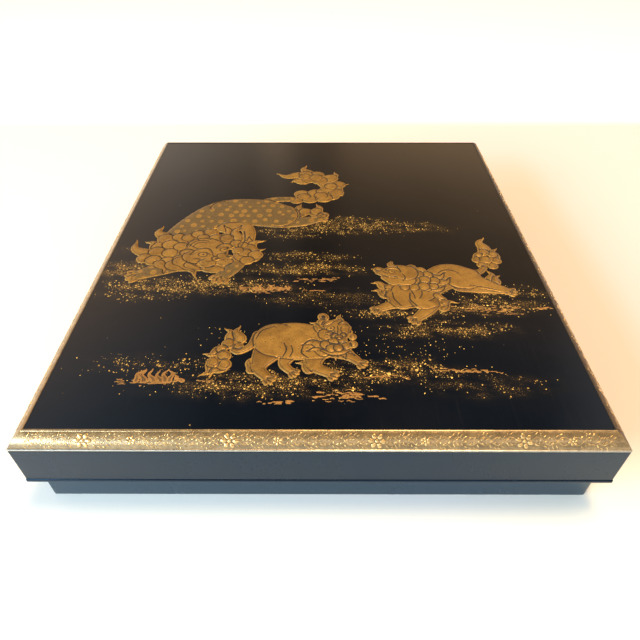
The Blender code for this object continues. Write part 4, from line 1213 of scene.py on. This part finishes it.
def colour_steps(tree, source, low, high, steps):
    """A ramp of colours by a value: each step gives the value and its colour, the two ends first."""
    made = add(tree, "ShaderNodeValToRGB")
    places = made.color_ramp.elements
    for k, (value, *colour) in enumerate(steps):
        step = places[k] if k < 2 else places.new(1.0)
        step.position = (value - low) / (high - low)
        step.color = (*colour, 1)
    tree.links.new(ramp(tree, source, low, high), made.inputs["Fac"])
    return made.outputs["Color"]


def make_world():
    """Room round the box: a warm wall behind it in darker and lighter bays, paler sides, a dark ceiling."""
    world = bpy.data.worlds.new("room")
    bpy.context.scene.world = world
    world.use_nodes = True
    tree = world.node_tree
    ground = tree.nodes["Background"]
    place = add(tree, "ShaderNodeTexCoord").outputs["Generated"]
    split = add(tree, "ShaderNodeSeparateXYZ")
    tree.links.new(place, split.inputs["Vector"])
    across, deep, up = (split.outputs[axis] for axis in "XYZ")
    wall = mix(tree, ramp(tree, across, -0.25, 0.05), (1.20, 1.0, 0.80), (1.55, 1.0, 0.54))
    wall = mix(tree, ramp(tree, up, 0.58, 0.80), wall, (0.95, 1.45, 2.0))
    level = colour_steps(tree, up, 0.0, 1.0, [(z, g, g, g) for z, g in (
        (0.10, 0.45), (0.92, 0.05), (0.30, 0.72), (0.40, 0.64), (0.46, 0.42), (0.52, 0.28), (0.62, 0.20),
        (0.70, 0.11), (0.80, 0.07))])
    turn = maths(tree, "DIVIDE", across, maths(tree, "MAXIMUM", deep, 0.1))
    bays = colour_steps(tree, turn, -0.6, 0.6, [(x, g, g, g) for x, g in (
        (-0.45, 1.2), (0.45, 1.1), (-0.24, 1.1), (-0.14, 0.8), (-0.09, 1.15), (-0.04, 0.56), (0.01, 0.50),
        (0.06, 0.82), (0.15, 0.92), (0.26, 1.15))])
    wall = mix(tree, 1.0, mix(tree, 1.0, wall, level, "MULTIPLY"), bays, "MULTIPLY")
    left = mix(tree, ramp(tree, up, 0.60, 0.74), (0.74, 0.50, 0.34), (0.33, 0.40, 0.47))
    right = mix(tree, ramp(tree, across, 0.39, 0.50), (0.0, 0.0, 0.0), (0.40, 0.45, 0.50))
    sides = mix(tree, ramp(tree, across, -0.20, -0.46), right, left)
    behind = mix(tree, 1.0, wall, sides, "ADD")
    front = colour_steps(tree, up, 0.0, 1.0,
                         [(0.02, 0.34, 0.36, 0.38), (0.95, 0.16, 0.14, 0.12), (0.30, 0.42, 0.41, 0.40),
                          (0.50, 0.40, 0.37, 0.35), (0.72, 0.34, 0.30, 0.28)])
    paler = maths(tree, "MULTIPLY", ramp(tree, across, 0.0, -0.5), ramp(tree, up, 0.45, 0.30))
    front = mix(tree, paler, front, (1.30, 1.45, 1.50))
    colour = mix(tree, ramp(tree, deep, -0.25, 0.15), front, behind)
    tree.links.new(colour, ground.inputs["Color"])
    ground.inputs["Strength"].default_value = 1.0


def make_camera():
    """Wide lens a little above the front edge, looking down at the middle of the lid."""
    data = bpy.data.cameras.new("camera")
    picture_side, focal_length, sensor = 640, 528.13, 36.0
    data.sensor_width = sensor
    data.lens = focal_length / picture_side * sensor
    data.clip_start = 0.01
    down, yaw, roll = np.radians((42.17, -0.217, -0.074))
    place = Vector((0.000857, -0.23168, 0.19459))
    ahead = Vector((np.sin(yaw) * np.cos(down), np.cos(yaw) * np.cos(down), -np.sin(down)))
    right = Vector((np.cos(yaw), -np.sin(yaw), 0))
    up = right.cross(ahead)
    turned_right = right * np.cos(roll) + up * np.sin(roll)
    turned_up = up * np.cos(roll) - right * np.sin(roll)
    camera = bpy.data.objects.new("camera", data)
    axes = Matrix((turned_right, turned_up, -ahead)).transposed().to_4x4()
    camera.matrix_world = Matrix.Translation(place) @ axes
    bpy.context.scene.collection.objects.link(camera)
    bpy.context.scene.camera = camera


make_floor()
make_world()
make_light("window", (-1.04, -0.72, 0.50), (0, 0, 0), (0.9, 0.44), 18, (0.66, 0.86, 1.0))
make_light("front_window", (-0.90, -1.20, 0.46), (0, -0.1, 0.03), (0.8, 0.26), 8, (0.76, 0.94, 1.0))
make_light("front_fill", (0.40, -1.5, 0.80), (0, -0.1, 0.03), (1.3, 0.28), 4.2, (1.0, 0.78, 0.54))
make_light("lamp", (0.30, 0.16, 1.65), (0, 0, 0), (0.6, 0.6), 28, (1.0, 0.70, 0.36))
make_camera()
bpy.context.scene.view_settings.view_transform = "Standard"
